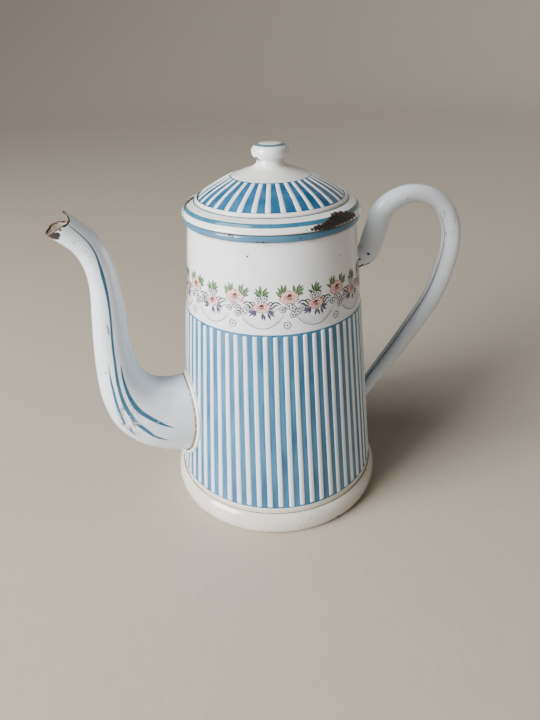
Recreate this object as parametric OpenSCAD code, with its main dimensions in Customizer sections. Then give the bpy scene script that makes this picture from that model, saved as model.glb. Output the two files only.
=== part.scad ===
// Enamelled sheet-steel coffee pot: a tapered pot with a low gooseneck spout,
// a high rolled-sheet handle and a lift-off domed lid.
// Millimetres. +Z is up, the origin is the centre of the foot's resting plane,
// the spout points along -X and the handle along +X.

/* [Body] */
// Outer radius that the pot's straight side would have at the table
wall_foot_r = 73.3; // [70:0.1:76]
// Outer radius of the pot's side at the height of the rim
wall_rim_r = 52.1; // [51:0.1:54]
// Height of the top of the rolled rim above the table
rim_z = 203.8; // [195:0.1:215]
// Thickness of enamelled sheet steel
sheet = 1.0; // [0.8:0.1:1.2]
// Outer radius of the roll at the rim
bead_r = 1.7; // [1.5:0.1:1.9]
// Extra height of the roll, which makes it oval
bead_rise = 1.2; // [0.8:0.1:1.6]

/* [Foot] */
// Height of the foot's upper lip, which laps the side
foot_lip_z = 16.1; // [14:0.1:18]
// Widest radius of the bulged foot
foot_r = 76.0; // [75:0.1:77]
// Radius of the middle of the ring that the pot stands on
stand_r = 72.6; // [72.4:0.1:72.8]

/* [Strainer] */
// Radius of each strainer hole in the side behind the spout
strainer_hole_r = 1.7; // [1.2:0.1:2]
// Distance between strainer holes
strainer_pitch = 7.0; // [6:0.5:8]

/* [Spout] */
// Height of the middle of the spout's root
spout_z = 66.5; // [65:0.5:68]
// Half height of the spout's root
root_half_h = 29.0; // [27:0.5:30]
// Half width of the spout's root
root_half_w = 22.0; // [20:0.5:23]
// How far the pouring lip reaches past the spout's end
lip_reach = 2.6; // [1:0.1:4]
// Width of the raised collar round the spout's root
collar_w = 3.2; // [2:0.1:4]
// Height of the collar above the side
collar_h = 2.0; // [1.5:0.1:2.5]

/* [Handle] */
// Outer radius of the rolled handle where its thickness is 1
handle_r = 6.8; // [6:0.1:7.5]
// Half angle of the slit along the handle's inner side
slit = 9; // [6:1:14]

/* [Lid] */
// Outer radius of the lid's rolled edge
lid_r = 55.4; // [55:0.1:57]
// Outer radius of the flange that drops into the mouth
flange_r = 50.2; // [49:0.1:50.6]
// Length of the flange below the rim
flange_drop = 10.5; // [6:0.5:16]
// Height of the flat boss under the knob
boss_z = 229.6; // [229:0.1:230]
// Radius of the rivet that holds the knob
rivet_r = 1.6; // [1.2:0.1:2]

/* [Knob] */
// Widest radius of the knob
knob_r = 11.2; // [11:0.1:13]
// Radius of the knob's neck
neck_r = 8.3; // [8:0.1:9.5]
// Height of the seam between the knob's cup and its cap
knob_seam_z = 240.4; // [240:0.1:241]
// Height of the top of the knob
knob_top_z = 243; // [242.5:0.1:244]

/* [Hidden] */

$fn = 96;
gap = 0.08;        // clearance between pieces that are welded face to face
lid_gap = 0.1;     // clearance under the lid's edge
rivet_gap = 0.15;  // clearance round the knob's rivet

enamel_white = [0.90, 0.91, 0.92];
enamel_blue = [0.38, 0.60, 0.72];
enamel_cream = [0.90, 0.88, 0.83];
bare_steel = [0.45, 0.44, 0.43];

taper = (wall_foot_r - wall_rim_r) / rim_z;
gutter_z = sheet + 0.15;  // where the side's lower edge stands in the foot
flange_z = 3.6;           // top of the foot's inner flange
plate_seat_r = 63;        // inner radius of that flange

bead_low_z = rim_z - 2 * bead_r - bead_rise;
bead_mid_r = wall_r(rim_z - bead_r) - sheet + bead_r;
wire_r = bead_r - sheet + 0.1;

// Spout stations after its root: [distance from the axis, height, half height, half width].
spout_stations = [
    [72, 67.0, 28.4, 21.8],
    [84, 71.0, 27.0, 20.8],
    [95.6, 79.5, 23.6, 18.8],
    [103.4, 92.0, 18.6, 16.0],
    [107.4, 106, 14.4, 13.6],
    [108.6, 125, 11.9, 11.5],
    [107.5, 148, 10.5, 10.2],
    [106.8, 168, 9.0, 9.0],
    [108.5, 184, 8.7, 8.6],
    [114.2, 197, 8.6, 8.4],
    [126.0, 208.5, 8.4, 8.2]
];
spout_steps = 5;  // rings from one station to the next
spout_sides = 16; // facets round each half of the spout

// Handle centre line: [distance from the axis, height, opening, thickness]. The opening is 0
// where the sheet is rolled shut and 1 where it is spread into the channel that is welded to the
// side. The thickness is a share of handle_r: it is thickest by the channel, and thinnest over
// the top and at its lower end.
handle_line = [
    [60.5, 163.2, 1.0, 1.13],
    [69.0, 166.8, 0.6, 1.17],
    [72.8, 177.5, 0.2, 1.17],
    [79.4, 195.4, 0, 1.10],
    [97.5, 203.4, 0, 0.92],
    [119.2, 197.6, 0, 0.90],
    [132.8, 180.5, 0, 0.97],
    [135.3, 158.0, 0, 1.03],
    [126.8, 127.0, 0, 1.04],
    [107.8, 97.5, 0, 1.00],
    [87.0, 70.5, 0, 0.90],
    [73.5, 53.5, 0, 0.83]
];
handle_steps = 6;  // rings from one point to the next
handle_sides = 20; // facets round the handle
open_slit = 60;    // half angle of the slit where the sheet is spread

// ---------- functions ----------

// Outer radius of the pot's side at height z.
function wall_r(z) = wall_foot_r - taper * z;

// A Catmull-Rom curve through pts, with n steps between neighbours.
function spline(pts, n) = [
    for (i = [0:len(pts) - 2], k = [0:n - 1])
        curve_point(pts[max(i - 1, 0)], pts[i], pts[i + 1], pts[min(i + 2, len(pts) - 1)], k / n),
    pts[len(pts) - 1]
];
function curve_point(a, b, c, d, t) =
    0.5 * (2 * b + (c - a) * t + (2 * a - 5 * b + 4 * c - d) * t * t
           + (3 * b - a - 3 * c + d) * t * t * t);

// Unit direction of a line of [r, z, ...] points at index i.
function heading(line, i) =
    let (a = line[max(i - 1, 0)], b = line[min(i + 1, len(line) - 1)],
         v = [b[0] - a[0], b[1] - a[1]])
    v / norm(v);

// The outline of a sheet of thickness t whose outer face follows path, with
// its body to the right-hand side of the way that path runs.
function sheet_outline(path, t) = concat(
    [for (p = path) [p[0], p[1]]],
    [for (i = [len(path) - 1:-1:0])
        let (v = heading(path, i)) [max(path[i][0] + t * v[1], 0), path[i][1] - t * v[0]]]
);

// An upright oval: half circles of radius r above and below a straight stretch.
function oval(cx, low, rise, r, n = 9) = concat(
    [for (i = [0:n]) let (a = 180 * i / n) [cx + r * cos(a), low + r + rise + r * sin(a)]],
    [for (i = [0:n]) let (a = 180 + 180 * i / n) [cx + r * cos(a), low + r + r * sin(a)]]
);

// ---------- shared modules ----------

// A solid through closed rings of points. Each ring is an outer edge followed by
// the inner edge run backwards, so an end is closed by joining its two edges.
module shell(rings) {
    n = len(rings[0]);
    half = n / 2;
    last = (len(rings) - 1) * n;
    sides = [
        for (i = [0:len(rings) - 2], j = [0:n - 1])
            let (a = i * n + j, b = i * n + (j + 1) % n, c = b + n, d = a + n)
            each [[a, b, c], [a, c, d]]
    ];
    start = [
        for (j = [0:half - 2]) let (a = j, b = j + 1, c = n - 2 - j, d = n - 1 - j)
            each [[a, c, b], [a, d, c]]
    ];
    end = [
        for (j = [0:half - 2])
            let (a = last + j, b = last + j + 1, c = last + n - 2 - j, d = last + n - 1 - j)
            each [[a, b, c], [a, c, d]]
    ];
    polyhedron(points = [for (ring = rings) each ring], faces = concat(sides, start, end));
}

// A closed loop of rings: the last ring joins the first.
module loop(rings) {
    n = len(rings[0]);
    m = len(rings);
    polyhedron(
        points = [for (ring = rings) each ring],
        faces = [
            for (i = [0:m - 1], j = [0:n - 1])
                let (a = i * n + j, b = i * n + (j + 1) % n,
                     c = ((i + 1) % m) * n + (j + 1) % n, d = ((i + 1) % m) * n + j)
                each [[a, b, c], [a, c, d]]
        ]
    );
}

// ---------- pot ----------

// Tapered side of rolled sheet, with its rim rolled outward and a strainer behind the spout.
module body_wall() {
    color(enamel_white) difference() {
        rotate_extrude() {
            polygon([
                [wall_r(gutter_z), gutter_z],
                [wall_r(bead_low_z + bead_r), bead_low_z + bead_r],
                [wall_r(rim_z - bead_r), rim_z - bead_r],
                [wall_r(rim_z - bead_r) - sheet, rim_z - bead_r],
                [wall_r(gutter_z) - sheet, gutter_z]
            ]);
            difference() {
                polygon(oval(bead_mid_r, bead_low_z, bead_rise, bead_r));
                polygon(oval(bead_mid_r, bead_low_z + sheet, bead_rise, bead_r - sheet));
            }
        }
        strainer_holes();
    }
}

// Rows of round holes inside the spout's root, each row shifted by half a pitch.
module strainer_holes() {
    row_step = strainer_pitch * sin(60);
    rows = floor((root_half_h - 6) / row_step);
    columns = ceil(root_half_w / strainer_pitch);
    for (row = [-rows:rows], column = [-columns:columns]) {
        y = (column + (row % 2 == 0 ? 0 : 0.5)) * strainer_pitch;
        z = row * row_step;
        if (norm([y / (root_half_w - 4), z / (root_half_h - 4)]) < 1)
            translate([-wall_foot_r - 2, y, spout_z + z])
                rotate([0, 90, 0]) cylinder(h = wall_foot_r - 50, r = strainer_hole_r, $fn = 32);
    }
}

// Wire inside the rolled rim.
module rim_wire() {
    wire_z = bead_low_z + bead_r + bead_rise / 2;
    color(bare_steel) rotate_extrude()
        translate([bead_mid_r, wire_z]) circle(r = wire_r - 0.2, $fn = 24);
}

// Foot: a bulged band that laps the side, turned under into the ring that the pot stands on.
module foot_ring() {
    lip_r = wall_r(foot_lip_z) + gap + sheet;
    skirt = spline([
        [lip_r, foot_lip_z], [foot_r - 1.0, foot_lip_z - 3.4], [foot_r, foot_lip_z * 0.5],
        [foot_r - 0.5, 3.6], [foot_r - 1.4, 1.2]
    ], 4);
    under = [
        [stand_r + 0.9, 0], [stand_r - 0.9, 0], [stand_r - 2.2, 0.7], [stand_r - 3.4, 2.0],
        [stand_r - 5.4, flange_z - sheet], [plate_seat_r, flange_z - sheet]
    ];
    color(enamel_cream) rotate_extrude() polygon(sheet_outline(concat(skirt, under), sheet));
}

// Flat bottom, welded on the foot's inner flange inside the side's lower edge.
module bottom_plate() {
    low = flange_z + gap;
    color(enamel_white) translate([0, 0, low])
        cylinder(h = sheet, r = wall_r(low + sheet) - sheet - gap);
}

// ---------- spout ----------

spout_path = spline(spout_stations, spout_steps);

// One edge of a spout section, from its top round to its bottom: inset is how far
// inside the outer face it runs, side is 1 or -1, and slant moves it to the pouring lip.
function section_edge(p, v, side, inset, slant) = [
    for (i = [0:spout_sides])
        let (a = 90 - 180 * i / spout_sides,
             up = (p[2] - inset) * sin(a),
             out = (p[3] - inset) * cos(a),
             reach = slant * lip_reach * pow(max(-sin(a), 0), 3))
        [-(p[0] - up * v[1] + reach * v[0]), side * (out + gap / 2), p[1] + up * v[0] + reach * v[1]]
];

// One edge of the spout's root, which lies on the pot's side.
function root_edge(side, inset) = [
    for (i = [0:spout_sides])
        let (a = 90 - 180 * i / spout_sides,
             y = (root_half_w - inset) * cos(a) + gap / 2,
             z = spout_z + (root_half_h - inset) * sin(a))
        [-(sqrt(pow(wall_r(z), 2) - y * y) + gap), side * y, z]
];

function reversed(list) = [for (i = [len(list) - 1:-1:0]) list[i]];

module spout_half(side) {
    last = len(spout_path) - 1;
    rings = concat(
        [concat(root_edge(side, 0), reversed(root_edge(side, sheet)))],
        [for (i = [0:last])
            let (p = spout_path[i], v = heading(spout_path, i), slant = i == last ? 1 : 0)
            concat(section_edge(p, v, side, 0, slant), reversed(section_edge(p, v, side, sheet, slant)))]
    );
    shell(side > 0 ? rings : [for (ring = rings) reversed(ring)]);
}

// The half on the +Y side of the spout's seam.
module spout_left_half() {
    color(enamel_white) spout_half(1);
}

// The half on the -Y side of the spout's seam.
module spout_right_half() {
    color(enamel_white) spout_half(-1);
}

// Raised collar round the root, between the spout and the side.
module spout_collar() {
    facets = 48;
    profile = [[0, 0], [collar_w, 0], [collar_w * 0.93, collar_h * 0.45], [collar_w * 0.7, collar_h * 0.82],
               [collar_w * 0.4, collar_h], [0, collar_h]];
    inner = 0.35;
    color(enamel_cream) loop([
        for (k = [0:facets - 1]) let (t = -360 * k / facets) [
            for (q = profile)
                let (y = (root_half_w + inner + q[0]) * cos(t),
                     z = spout_z + (root_half_h + inner + q[0]) * sin(t))
                [-(sqrt(pow(wall_r(z), 2) - y * y) + gap + q[1]), y, z]
        ]
    ]);
}

// ---------- handle ----------

handle_path = spline(handle_line, handle_steps);

// Half angle of the slit for an opening from 0 to 1.
function slit_at(opening) = slit + (open_slit - slit) * min(max(opening, 0), 1);

// One edge of the rolled handle's section at radius r. The slit faces the inside of the loop.
function roll_edge(p, v, r) = [
    for (i = [0:handle_sides])
        let (half = slit_at(p[2]), a = half + (360 - 2 * half) * i / handle_sides,
             in = r * cos(a))
        [p[0] + in * v[1], r * sin(a), p[1] - in * v[0]]
];

// Moves a point of the handle along its direction v until it meets the pot's side.
function on_wall(p, v) =
    let (k = wall_r(p[2]) + gap,
         a = v[0] * v[0] - pow(taper * v[1], 2),
         b = p[0] * v[0] + k * taper * v[1],
         c = p[0] * p[0] + p[1] * p[1] - k * k,
         root = sqrt(max(b * b - a * c, 0)),
         t = abs(-b + root) < abs(-b - root) ? (-b + root) / a : (-b - root) / a)
    [p[0] + t * v[0], p[1], p[2] + t * v[1]];

// Handle rolled from one sheet, with its slit inside the loop. Its upper end is spread
// into a channel, and both ends are cut to the pot's side.
module handle_tube() {
    last = len(handle_path) - 1;
    function ring(i) =
        let (p = handle_path[i], v = heading(handle_path, i))
        concat(roll_edge(p, v, handle_r * p[3]), reversed(roll_edge(p, v, handle_r * p[3] - sheet)));
    function end_ring(i) = let (v = heading(handle_path, i)) [for (q = ring(i)) on_wall(q, v)];
    color(enamel_white) shell(concat(
        [end_ring(0)], [for (i = [1:last - 1]) ring(i)], [end_ring(last)]
    ));
}

// ---------- lid ----------

lid_low_z = rim_z + lid_gap;

// Domed lid with a flat boss for the knob and a rolled edge.
module lid_dome() {
    path = concat(
        [[rivet_r + rivet_gap, boss_z], [neck_r, boss_z]],
        spline([
            [neck_r + 2.3, boss_z - 0.6], [16.5, 227.2], [24.1, 224.6], [36, 218.7], [45.2, 212.6],
            [47.4, 211.2], [52.2, 209.4], [lid_r - 1.3, 207.2], [lid_r, lid_low_z + 1.4]
        ], 3),
        [[lid_r - 0.2, lid_low_z + 0.5], [lid_r - 0.8, lid_low_z], [lid_r - 2.0, lid_low_z]]
    );
    color(enamel_blue) rotate_extrude() polygon(sheet_outline(path, sheet));
}

// Flange under the lid that drops into the mouth, with its lower edge turned in.
module lid_flange() {
    low = rim_z - flange_drop;
    path = [[flange_r, 208.8], [flange_r, low + 1.2], [flange_r - 0.9, low]];
    color(enamel_white) rotate_extrude() polygon(sheet_outline(path, sheet));
}

// Knob's cup: a riveted floor, the neck and the lower part of the bulb.
module knob_cup() {
    low = boss_z + gap;
    path = reversed(concat(
        [[rivet_r + rivet_gap, low], [neck_r - 1.0, low]],
        spline([
            [neck_r, low + 1.0], [neck_r, low + 2.4], [neck_r + 0.7, low + 3.8],
            [knob_r - 0.9, low + 5.4], [knob_r, low + 8.0], [knob_r - 1.0, knob_seam_z]
        ], 3)
    ));
    color(enamel_white) rotate_extrude() polygon(sheet_outline(path, sheet * 0.9));
}

// Knob's cap, which closes the cup.
module knob_cap() {
    low = knob_seam_z + gap;
    path = concat([[0, knob_top_z]], reversed(spline([
        [knob_r - 1.05, low], [knob_r - 1.9, low + 1.1], [knob_r - 4.4, knob_top_z - 0.5],
        [knob_r / 3, knob_top_z]
    ], 3)));
    color(enamel_blue) rotate_extrude() polygon(sheet_outline(path, sheet * 0.8));
}

// Rivet through the knob's floor and the lid's boss, with a head at each end.
module knob_rivet() {
    head_r = rivet_r * 2;
    head_h = rivet_r * 0.8;
    top = boss_z + gap + sheet * 0.9 + gap;
    low = boss_z - sheet - gap;
    color(bare_steel) {
        translate([0, 0, low - head_h / 2]) cylinder(h = top - low + head_h, r = rivet_r, $fn = 48);
        translate([0, 0, top]) cylinder(h = head_h, r1 = head_r, r2 = head_r * 0.6, $fn = 48);
        translate([0, 0, low - head_h]) cylinder(h = head_h, r1 = head_r * 0.6, r2 = head_r, $fn = 48);
    }
}

body_wall();
rim_wire();
foot_ring();
bottom_plate();
spout_left_half();
spout_right_half();
spout_collar();
handle_tube();
lid_dome();
lid_flange();
knob_cup();
knob_cap();
knob_rivet();
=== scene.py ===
"""Looks of an enamelled sheet-steel coffee pot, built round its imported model.

The pot stands on its foot at the origin, with +Z up, its spout along -X and its handle along +X.
Sizes in the classes are millimetres; a finished piece is in metres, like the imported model.
"""

import logging
import math
import random
from dataclasses import dataclass, field
from enum import Enum
from typing import Callable, Sequence

import bmesh
import bpy
from mathutils import Matrix, Vector

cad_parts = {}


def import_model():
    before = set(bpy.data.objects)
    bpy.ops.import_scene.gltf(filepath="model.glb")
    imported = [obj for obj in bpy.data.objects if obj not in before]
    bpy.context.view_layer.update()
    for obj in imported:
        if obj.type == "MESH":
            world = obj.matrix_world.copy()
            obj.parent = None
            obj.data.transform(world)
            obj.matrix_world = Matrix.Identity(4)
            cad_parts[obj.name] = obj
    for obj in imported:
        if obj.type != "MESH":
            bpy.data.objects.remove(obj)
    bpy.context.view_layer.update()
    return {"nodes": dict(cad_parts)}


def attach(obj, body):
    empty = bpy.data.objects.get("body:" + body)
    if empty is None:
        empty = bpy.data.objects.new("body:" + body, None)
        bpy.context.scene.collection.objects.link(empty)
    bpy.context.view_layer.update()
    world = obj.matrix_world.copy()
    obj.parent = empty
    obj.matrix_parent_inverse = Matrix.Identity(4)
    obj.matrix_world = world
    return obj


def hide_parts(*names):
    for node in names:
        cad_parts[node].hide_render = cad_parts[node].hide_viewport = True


LOG = logging.getLogger("coffee_pot")
MM = 0.001
POT_MIDDLE = (0.0, 0.0, 0.12)

Point = tuple[float, ...]
Tint = tuple[float, float, float]
Place = Callable[[float, float], Vector]


class Body(Enum):
    """The two rigid bodies of the pot."""

    POT = "pot"
    LID = "lid"


# ---------------------------------------------------------------- curves


def smooth_path(points: Sequence[Point], steps: int) -> list[Point]:
    """Runs a Catmull-Rom curve through points.

    Args:
        points: The points to pass through, of any number of coordinates.
        steps: How many pieces each stretch is cut into.

    Returns:
        The points of the curve, ends included.
    """
    path: list[Point] = []
    for i in range(len(points) - 1):
        for k in range(steps):
            path.append(along(points, i + k / steps))
    path.append(tuple(points[-1]))
    return path


def along(points: Sequence[Point], t: float) -> Point:
    """Finds a point of the Catmull-Rom curve through points.

    Args:
        points: The points to pass through.
        t: The place on the curve, 0 at the first point and 1 more at each next point.

    Returns:
        The curve's point at t.
    """
    last = len(points) - 1
    i = min(max(int(t), 0), last - 1)
    f = t - i
    a, b, c, d = points[max(i - 1, 0)], points[i], points[i + 1], points[min(i + 2, last)]
    return tuple(
        0.5 * (2 * q + (r - p) * f + (2 * p - 5 * q + 4 * r - s) * f * f + (3 * q - p - 3 * r + s) * f**3)
        for p, q, r, s in zip(a, b, c, d)
    )


def heading(points: Sequence[Point], t: float) -> Vector:
    """Gives the unit direction, in the plane of the first two coordinates, of the curve at t."""
    last = len(points) - 1
    a, b = along(points, max(t - 0.02, 0.0)), along(points, min(t + 0.02, float(last)))
    return Vector((b[0] - a[0], b[1] - a[1])).normalized()


def between(table: Sequence[tuple[float, float]], x: float) -> float:
    """Reads a table of (x, y) pairs at x, straight between its rows."""
    if x <= table[0][0]:
        return table[0][1]
    for (x0, y0), (x1, y1) in zip(table, table[1:]):
        if x <= x1:
            return y0 + (y1 - y0) * (x - x0) / (x1 - x0)
    return table[-1][1]


def polar(radius: float, degrees: float, z: float) -> Vector:
    """Gives the point at a radius and an angle from +X about the pot's axis."""
    a = math.radians(degrees)
    return Vector((radius * math.cos(a), radius * math.sin(a), z))


def tight_ends(place: Place) -> Place:
    """Draws the rows of a grid together at its two ends, where the outline turns.

    Args:
        place: Gives the surface's point for two numbers from 0 to 1.

    Returns:
        The same surface, with its rows closer together near 0 and 1.
    """

    def bunched(u: float, v: float) -> Vector:
        """Gives the point of a row that is nearer an end."""
        c = math.cos(math.pi * v)
        return place(u, 0.5 - 0.5 * math.copysign(abs(c) ** 0.3, c))

    return bunched


# ---------------------------------------------------------------- meshes


class Shape:
    """A mesh under construction, in millimetres, that becomes one finished piece."""

    def __init__(self) -> None:
        """Starts with nothing in it."""
        self.bm = bmesh.new()

    def turned(
        self,
        profile: Sequence[Point],
        steps: int = 160,
        closed: bool = False,
        slot_of: Callable[[Vector], int] | None = None,
    ) -> None:
        """Spins a profile about the pot's axis, as a metal spinner would.

        Args:
            profile: The (radius, height) points.
            steps: How many flats go round.
            closed: Whether the last point joins the first.
            slot_of: Gives the material slot of a face from its centre, as (radius, height, way it faces).
        """
        verts = [self.bm.verts.new((p[0], 0.0, p[1])) for p in profile]
        ends = zip(verts, verts[1:] + verts[:1] if closed else verts[1:])
        edges = [self.bm.edges.new(pair) for pair in ends]
        bmesh.ops.spin(
            self.bm, geom=verts + edges, cent=(0, 0, 0), axis=(0, 0, 1), dvec=(0, 0, 0),
            angle=math.tau, steps=steps, use_merge=True, use_duplicate=False,
        )
        bmesh.ops.remove_doubles(self.bm, verts=self.bm.verts[:], dist=1e-4)
        bmesh.ops.recalc_face_normals(self.bm, faces=self.bm.faces[:])
        if slot_of:
            for face in self.bm.faces:
                c = face.calc_center_median()
                radial = Vector((c.x, c.y, 0)).normalized().dot(face.normal)
                face.material_index = slot_of(Vector((math.hypot(c.x, c.y), c.z, radial)))

    def patch(self, across: int, lengthwise: int, place: Place, slot: int = 0, wrap: bool = False,
              outward: Callable[[Vector], Vector] | None = None) -> list[bmesh.types.BMFace]:
        """Lays a grid on a surface.

        Args:
            across: How many cells wide the grid is.
            lengthwise: How many cells long it is.
            place: Gives the surface's point for two numbers from 0 to 1.
            slot: The material slot of its faces.
            wrap: Whether opposite edges meet and are joined.
            outward: Gives the way that a face at a point should look.

        Returns:
            The grid's faces.
        """
        made = bmesh.ops.create_grid(self.bm, x_segments=across, y_segments=lengthwise, size=1.0)
        verts = made["verts"]
        for v in verts:
            v.co = place((v.co.x + 1) / 2, (v.co.y + 1) / 2)
        if wrap:
            bmesh.ops.remove_doubles(self.bm, verts=verts, dist=1e-3)
            verts = [v for v in verts if v.is_valid]
        faces = list({f for v in verts for f in v.link_faces})
        for f in faces:
            f.material_index = slot
            f.normal_update()
        if outward:
            facing = sum(f.normal.dot(outward(f.calc_center_median())) * f.calc_area() for f in faces)
            if facing < 0:
                bmesh.ops.reverse_faces(self.bm, faces=faces)
        return faces

    def disc(self, sides: int, place: Callable[[Vector], Vector], slot: int) -> None:
        """Lays a flat disc on a surface.

        Args:
            sides: How many corners it has.
            place: Gives the surface's point for a point of the unit disc.
            slot: The material slot of its face.
        """
        made = bmesh.ops.create_circle(self.bm, cap_ends=True, cap_tris=True, segments=sides, radius=1.0)
        faces = {f for v in made["verts"] for f in v.link_faces}
        for f in faces:
            f.material_index = slot
        for v in made["verts"]:
            v.co = place(v.co.copy())

    def finish(self, name: str, body: Body, slot: str, materials: Sequence[bpy.types.Material],
               stands_for: Sequence[str] = (), sharp: float = 50.0) -> bpy.types.Object:
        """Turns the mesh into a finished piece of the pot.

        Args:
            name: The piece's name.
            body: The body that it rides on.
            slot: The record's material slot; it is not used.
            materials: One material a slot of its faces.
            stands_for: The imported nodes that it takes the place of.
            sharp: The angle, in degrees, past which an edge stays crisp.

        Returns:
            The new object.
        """
        bmesh.ops.scale(self.bm, vec=(MM, MM, MM), verts=self.bm.verts[:])
        mesh = bpy.data.meshes.new(name)
        self.bm.to_mesh(mesh)
        self.bm.free()
        for m in materials:
            mesh.materials.append(m)
        mesh.shade_smooth()
        mesh.set_sharp_from_angle(angle=math.radians(sharp))
        piece = bpy.data.objects.new(name, mesh)
        bpy.context.scene.collection.objects.link(piece)
        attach(piece, body.value)
        if stands_for:
            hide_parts(*stands_for)
        LOG.info("%s: %d faces, rides on %s", name, len(mesh.polygons), body.value)
        return piece


# ---------------------------------------------------------------- shader maths


class Signal:
    """A shader socket that takes part in Python arithmetic."""

    def __init__(self, graph: "Graph", socket: bpy.types.NodeSocket) -> None:
        """Wraps an output socket of a graph."""
        self.graph, self.socket = graph, socket

    def _math(self, operation: str, a: "Signal | float", b: "Signal | float") -> "Signal":
        """Adds one Math node."""
        return self.graph.node("ShaderNodeMath", {"operation": operation}, {0: a, 1: b})

    def __add__(self, other: "Signal | float") -> "Signal":
        """self + other."""
        return self._math("ADD", self, other)

    def __radd__(self, other: float) -> "Signal":
        """other + self."""
        return self._math("ADD", other, self)

    def __sub__(self, other: "Signal | float") -> "Signal":
        """self - other."""
        return self._math("SUBTRACT", self, other)

    def __rsub__(self, other: float) -> "Signal":
        """other - self."""
        return self._math("SUBTRACT", other, self)

    def __mul__(self, other: "Signal | float") -> "Signal":
        """self * other."""
        return self._math("MULTIPLY", self, other)

    def __rmul__(self, other: float) -> "Signal":
        """other * self."""
        return self._math("MULTIPLY", other, self)

    def __truediv__(self, other: "Signal | float") -> "Signal":
        """self / other."""
        return self._math("DIVIDE", self, other)

    def lower(self, other: "Signal | float") -> "Signal":
        """The lower of self and other."""
        return self._math("MINIMUM", self, other)

    def upper(self, other: "Signal | float") -> "Signal":
        """The higher of self and other."""
        return self._math("MAXIMUM", self, other)


class Graph:
    """One material's nodes, with places on the piece in millimetres."""

    def __init__(self, name: str) -> None:
        """Starts an empty material."""
        self.material = bpy.data.materials.new(name)
        self.material.use_nodes = True
        self.tree = self.material.node_tree
        self.tree.nodes.clear()
        here = self.node("ShaderNodeTexCoord", out="Object")
        self.place = self.node("ShaderNodeVectorMath", {"operation": "SCALE"}, {0: here, "Scale": 1 / MM})
        split = self.node("ShaderNodeSeparateXYZ", {}, {0: self.place})
        self.x, self.y, self.z = split, self.other(split, 1), self.other(split, 2)

    def node(self, kind: str, settings: dict | None = None, inputs: dict | None = None,
             out: int | str = 0) -> Signal:
        """Adds a node.

        Args:
            kind: Its type.
            settings: Its own settings, set first; "stops" are a ramp's (place, colour) pairs.
            inputs: Socket names or numbers, and the value or signal of each.
            out: The output to give back.

        Returns:
            The chosen output.
        """
        made = self.tree.nodes.new(kind)
        for key, value in (settings or {}).items():
            if key == "stops":
                ramp = made.color_ramp.elements
                while len(ramp) < len(value):
                    ramp.new(0.5)
                for element, (place, colour) in zip(ramp, value):
                    element.position, element.color = place, (*colour, 1.0)
            else:
                setattr(made, key, value)
        for key, value in (inputs or {}).items():
            socket = made.inputs[key]
            if isinstance(value, Signal):
                self.tree.links.new(value.socket, socket)
            elif isinstance(value, tuple) and len(value) == 3 and socket.type == "RGBA":
                socket.default_value = (*value, 1.0)
            else:
                socket.default_value = value
        return Signal(self, made.outputs[out])

    def other(self, signal: Signal, out: int | str) -> Signal:
        """Gives another output of the node behind a signal."""
        return Signal(self, signal.socket.node.outputs[out])

    def noise(self, size: float, detail: float = 2.0, stretch: Point = (1, 1, 1),
              shift: float = 0.0) -> Signal:
        """Gives cloudy noise from 0 to 1.

        Args:
            size: The size of its clouds in millimetres.
            detail: How many finer layers it has.
            stretch: How much longer the clouds are along each axis.
            shift: Moves it, so that two noises differ.

        Returns:
            The noise; its Color output holds three unlike ones.
        """
        scale = tuple(1 / (size * s) for s in stretch)
        at = self.node("ShaderNodeVectorMath", {"operation": "MULTIPLY_ADD"},
                       {0: self.place, 1: scale, 2: (shift, shift * 0.7, -shift)})
        return self.node("ShaderNodeTexNoise", {}, {"Vector": at, "Scale": 1.0, "Detail": detail})

    def rise(self, value: Signal, low: float, high: float) -> Signal:
        """Goes smoothly from 0 to 1 as value goes from low to high."""
        return self.node("ShaderNodeMapRange", {"interpolation_type": "SMOOTHSTEP"},
                         {0: value, 1: low, 2: high, 3: 0.0, 4: 1.0})

    def band(self, value: Signal, low: float, high: float, soft: float) -> Signal:
        """Is 1 where value is from low to high and 0 outside, with soft edges."""
        return self.rise(value, low - soft, low + soft) * (1 - self.rise(value, high - soft, high + soft))

    def blend(self, share: Signal | float, a: Tint | Signal, b: Tint | Signal) -> Signal:
        """Mixes colour a with a share of colour b."""
        return self.node("ShaderNodeMix", {"data_type": "RGBA"}, {0: share, 6: a, 7: b}, out=2)

    def radius(self) -> Signal:
        """Gives the distance from the pot's axis."""
        return self.node("ShaderNodeMath", {"operation": "SQRT"}, {0: self.x * self.x + self.y * self.y})

    def bump(self, height: Signal, distance: float) -> Signal:
        """Turns a height from 0 to 1 into a normal; distance is its full height in millimetres."""
        return self.node("ShaderNodeBump", {}, {"Strength": 1.0, "Distance": distance * MM, "Height": height})

    def surface(self, values: dict) -> bpy.types.Material:
        """Ends the graph in a Principled shader.

        Args:
            values: Its sockets' names, and the value or signal of each.

        Returns:
            The finished material.
        """
        shader = self.node("ShaderNodeBsdfPrincipled", {}, values)
        end = self.tree.nodes.new("ShaderNodeOutputMaterial")
        self.tree.links.new(shader.socket, end.inputs["Surface"])
        return self.material


# ---------------------------------------------------------------- colours


def tint(red: int, green: int, blue: int) -> Tint:
    """Turns a display colour of 0 to 255 into the linear colour that shaders take."""
    shares = (c / 255 for c in (red, green, blue))
    return tuple(s / 12.92 if s <= 0.04045 else ((s + 0.055) / 1.055) ** 2.4 for s in shares)


IRON = tint(22, 17, 16)
RUST = tint(96, 60, 36)
FRINGE = tint(120, 104, 88)
WHITE = tint(230, 232, 235)
COOL_WHITE = tint(218, 225, 232)
CREAM = tint(210, 207, 198)
BLUE = tint(58, 116, 150)
DEEP_BLUE = tint(34, 84, 118)
BEAD_BLUE = tint(68, 112, 138)
LINE_BLUE = tint(34, 88, 112)


# ---------------------------------------------------------------- finishes


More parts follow.
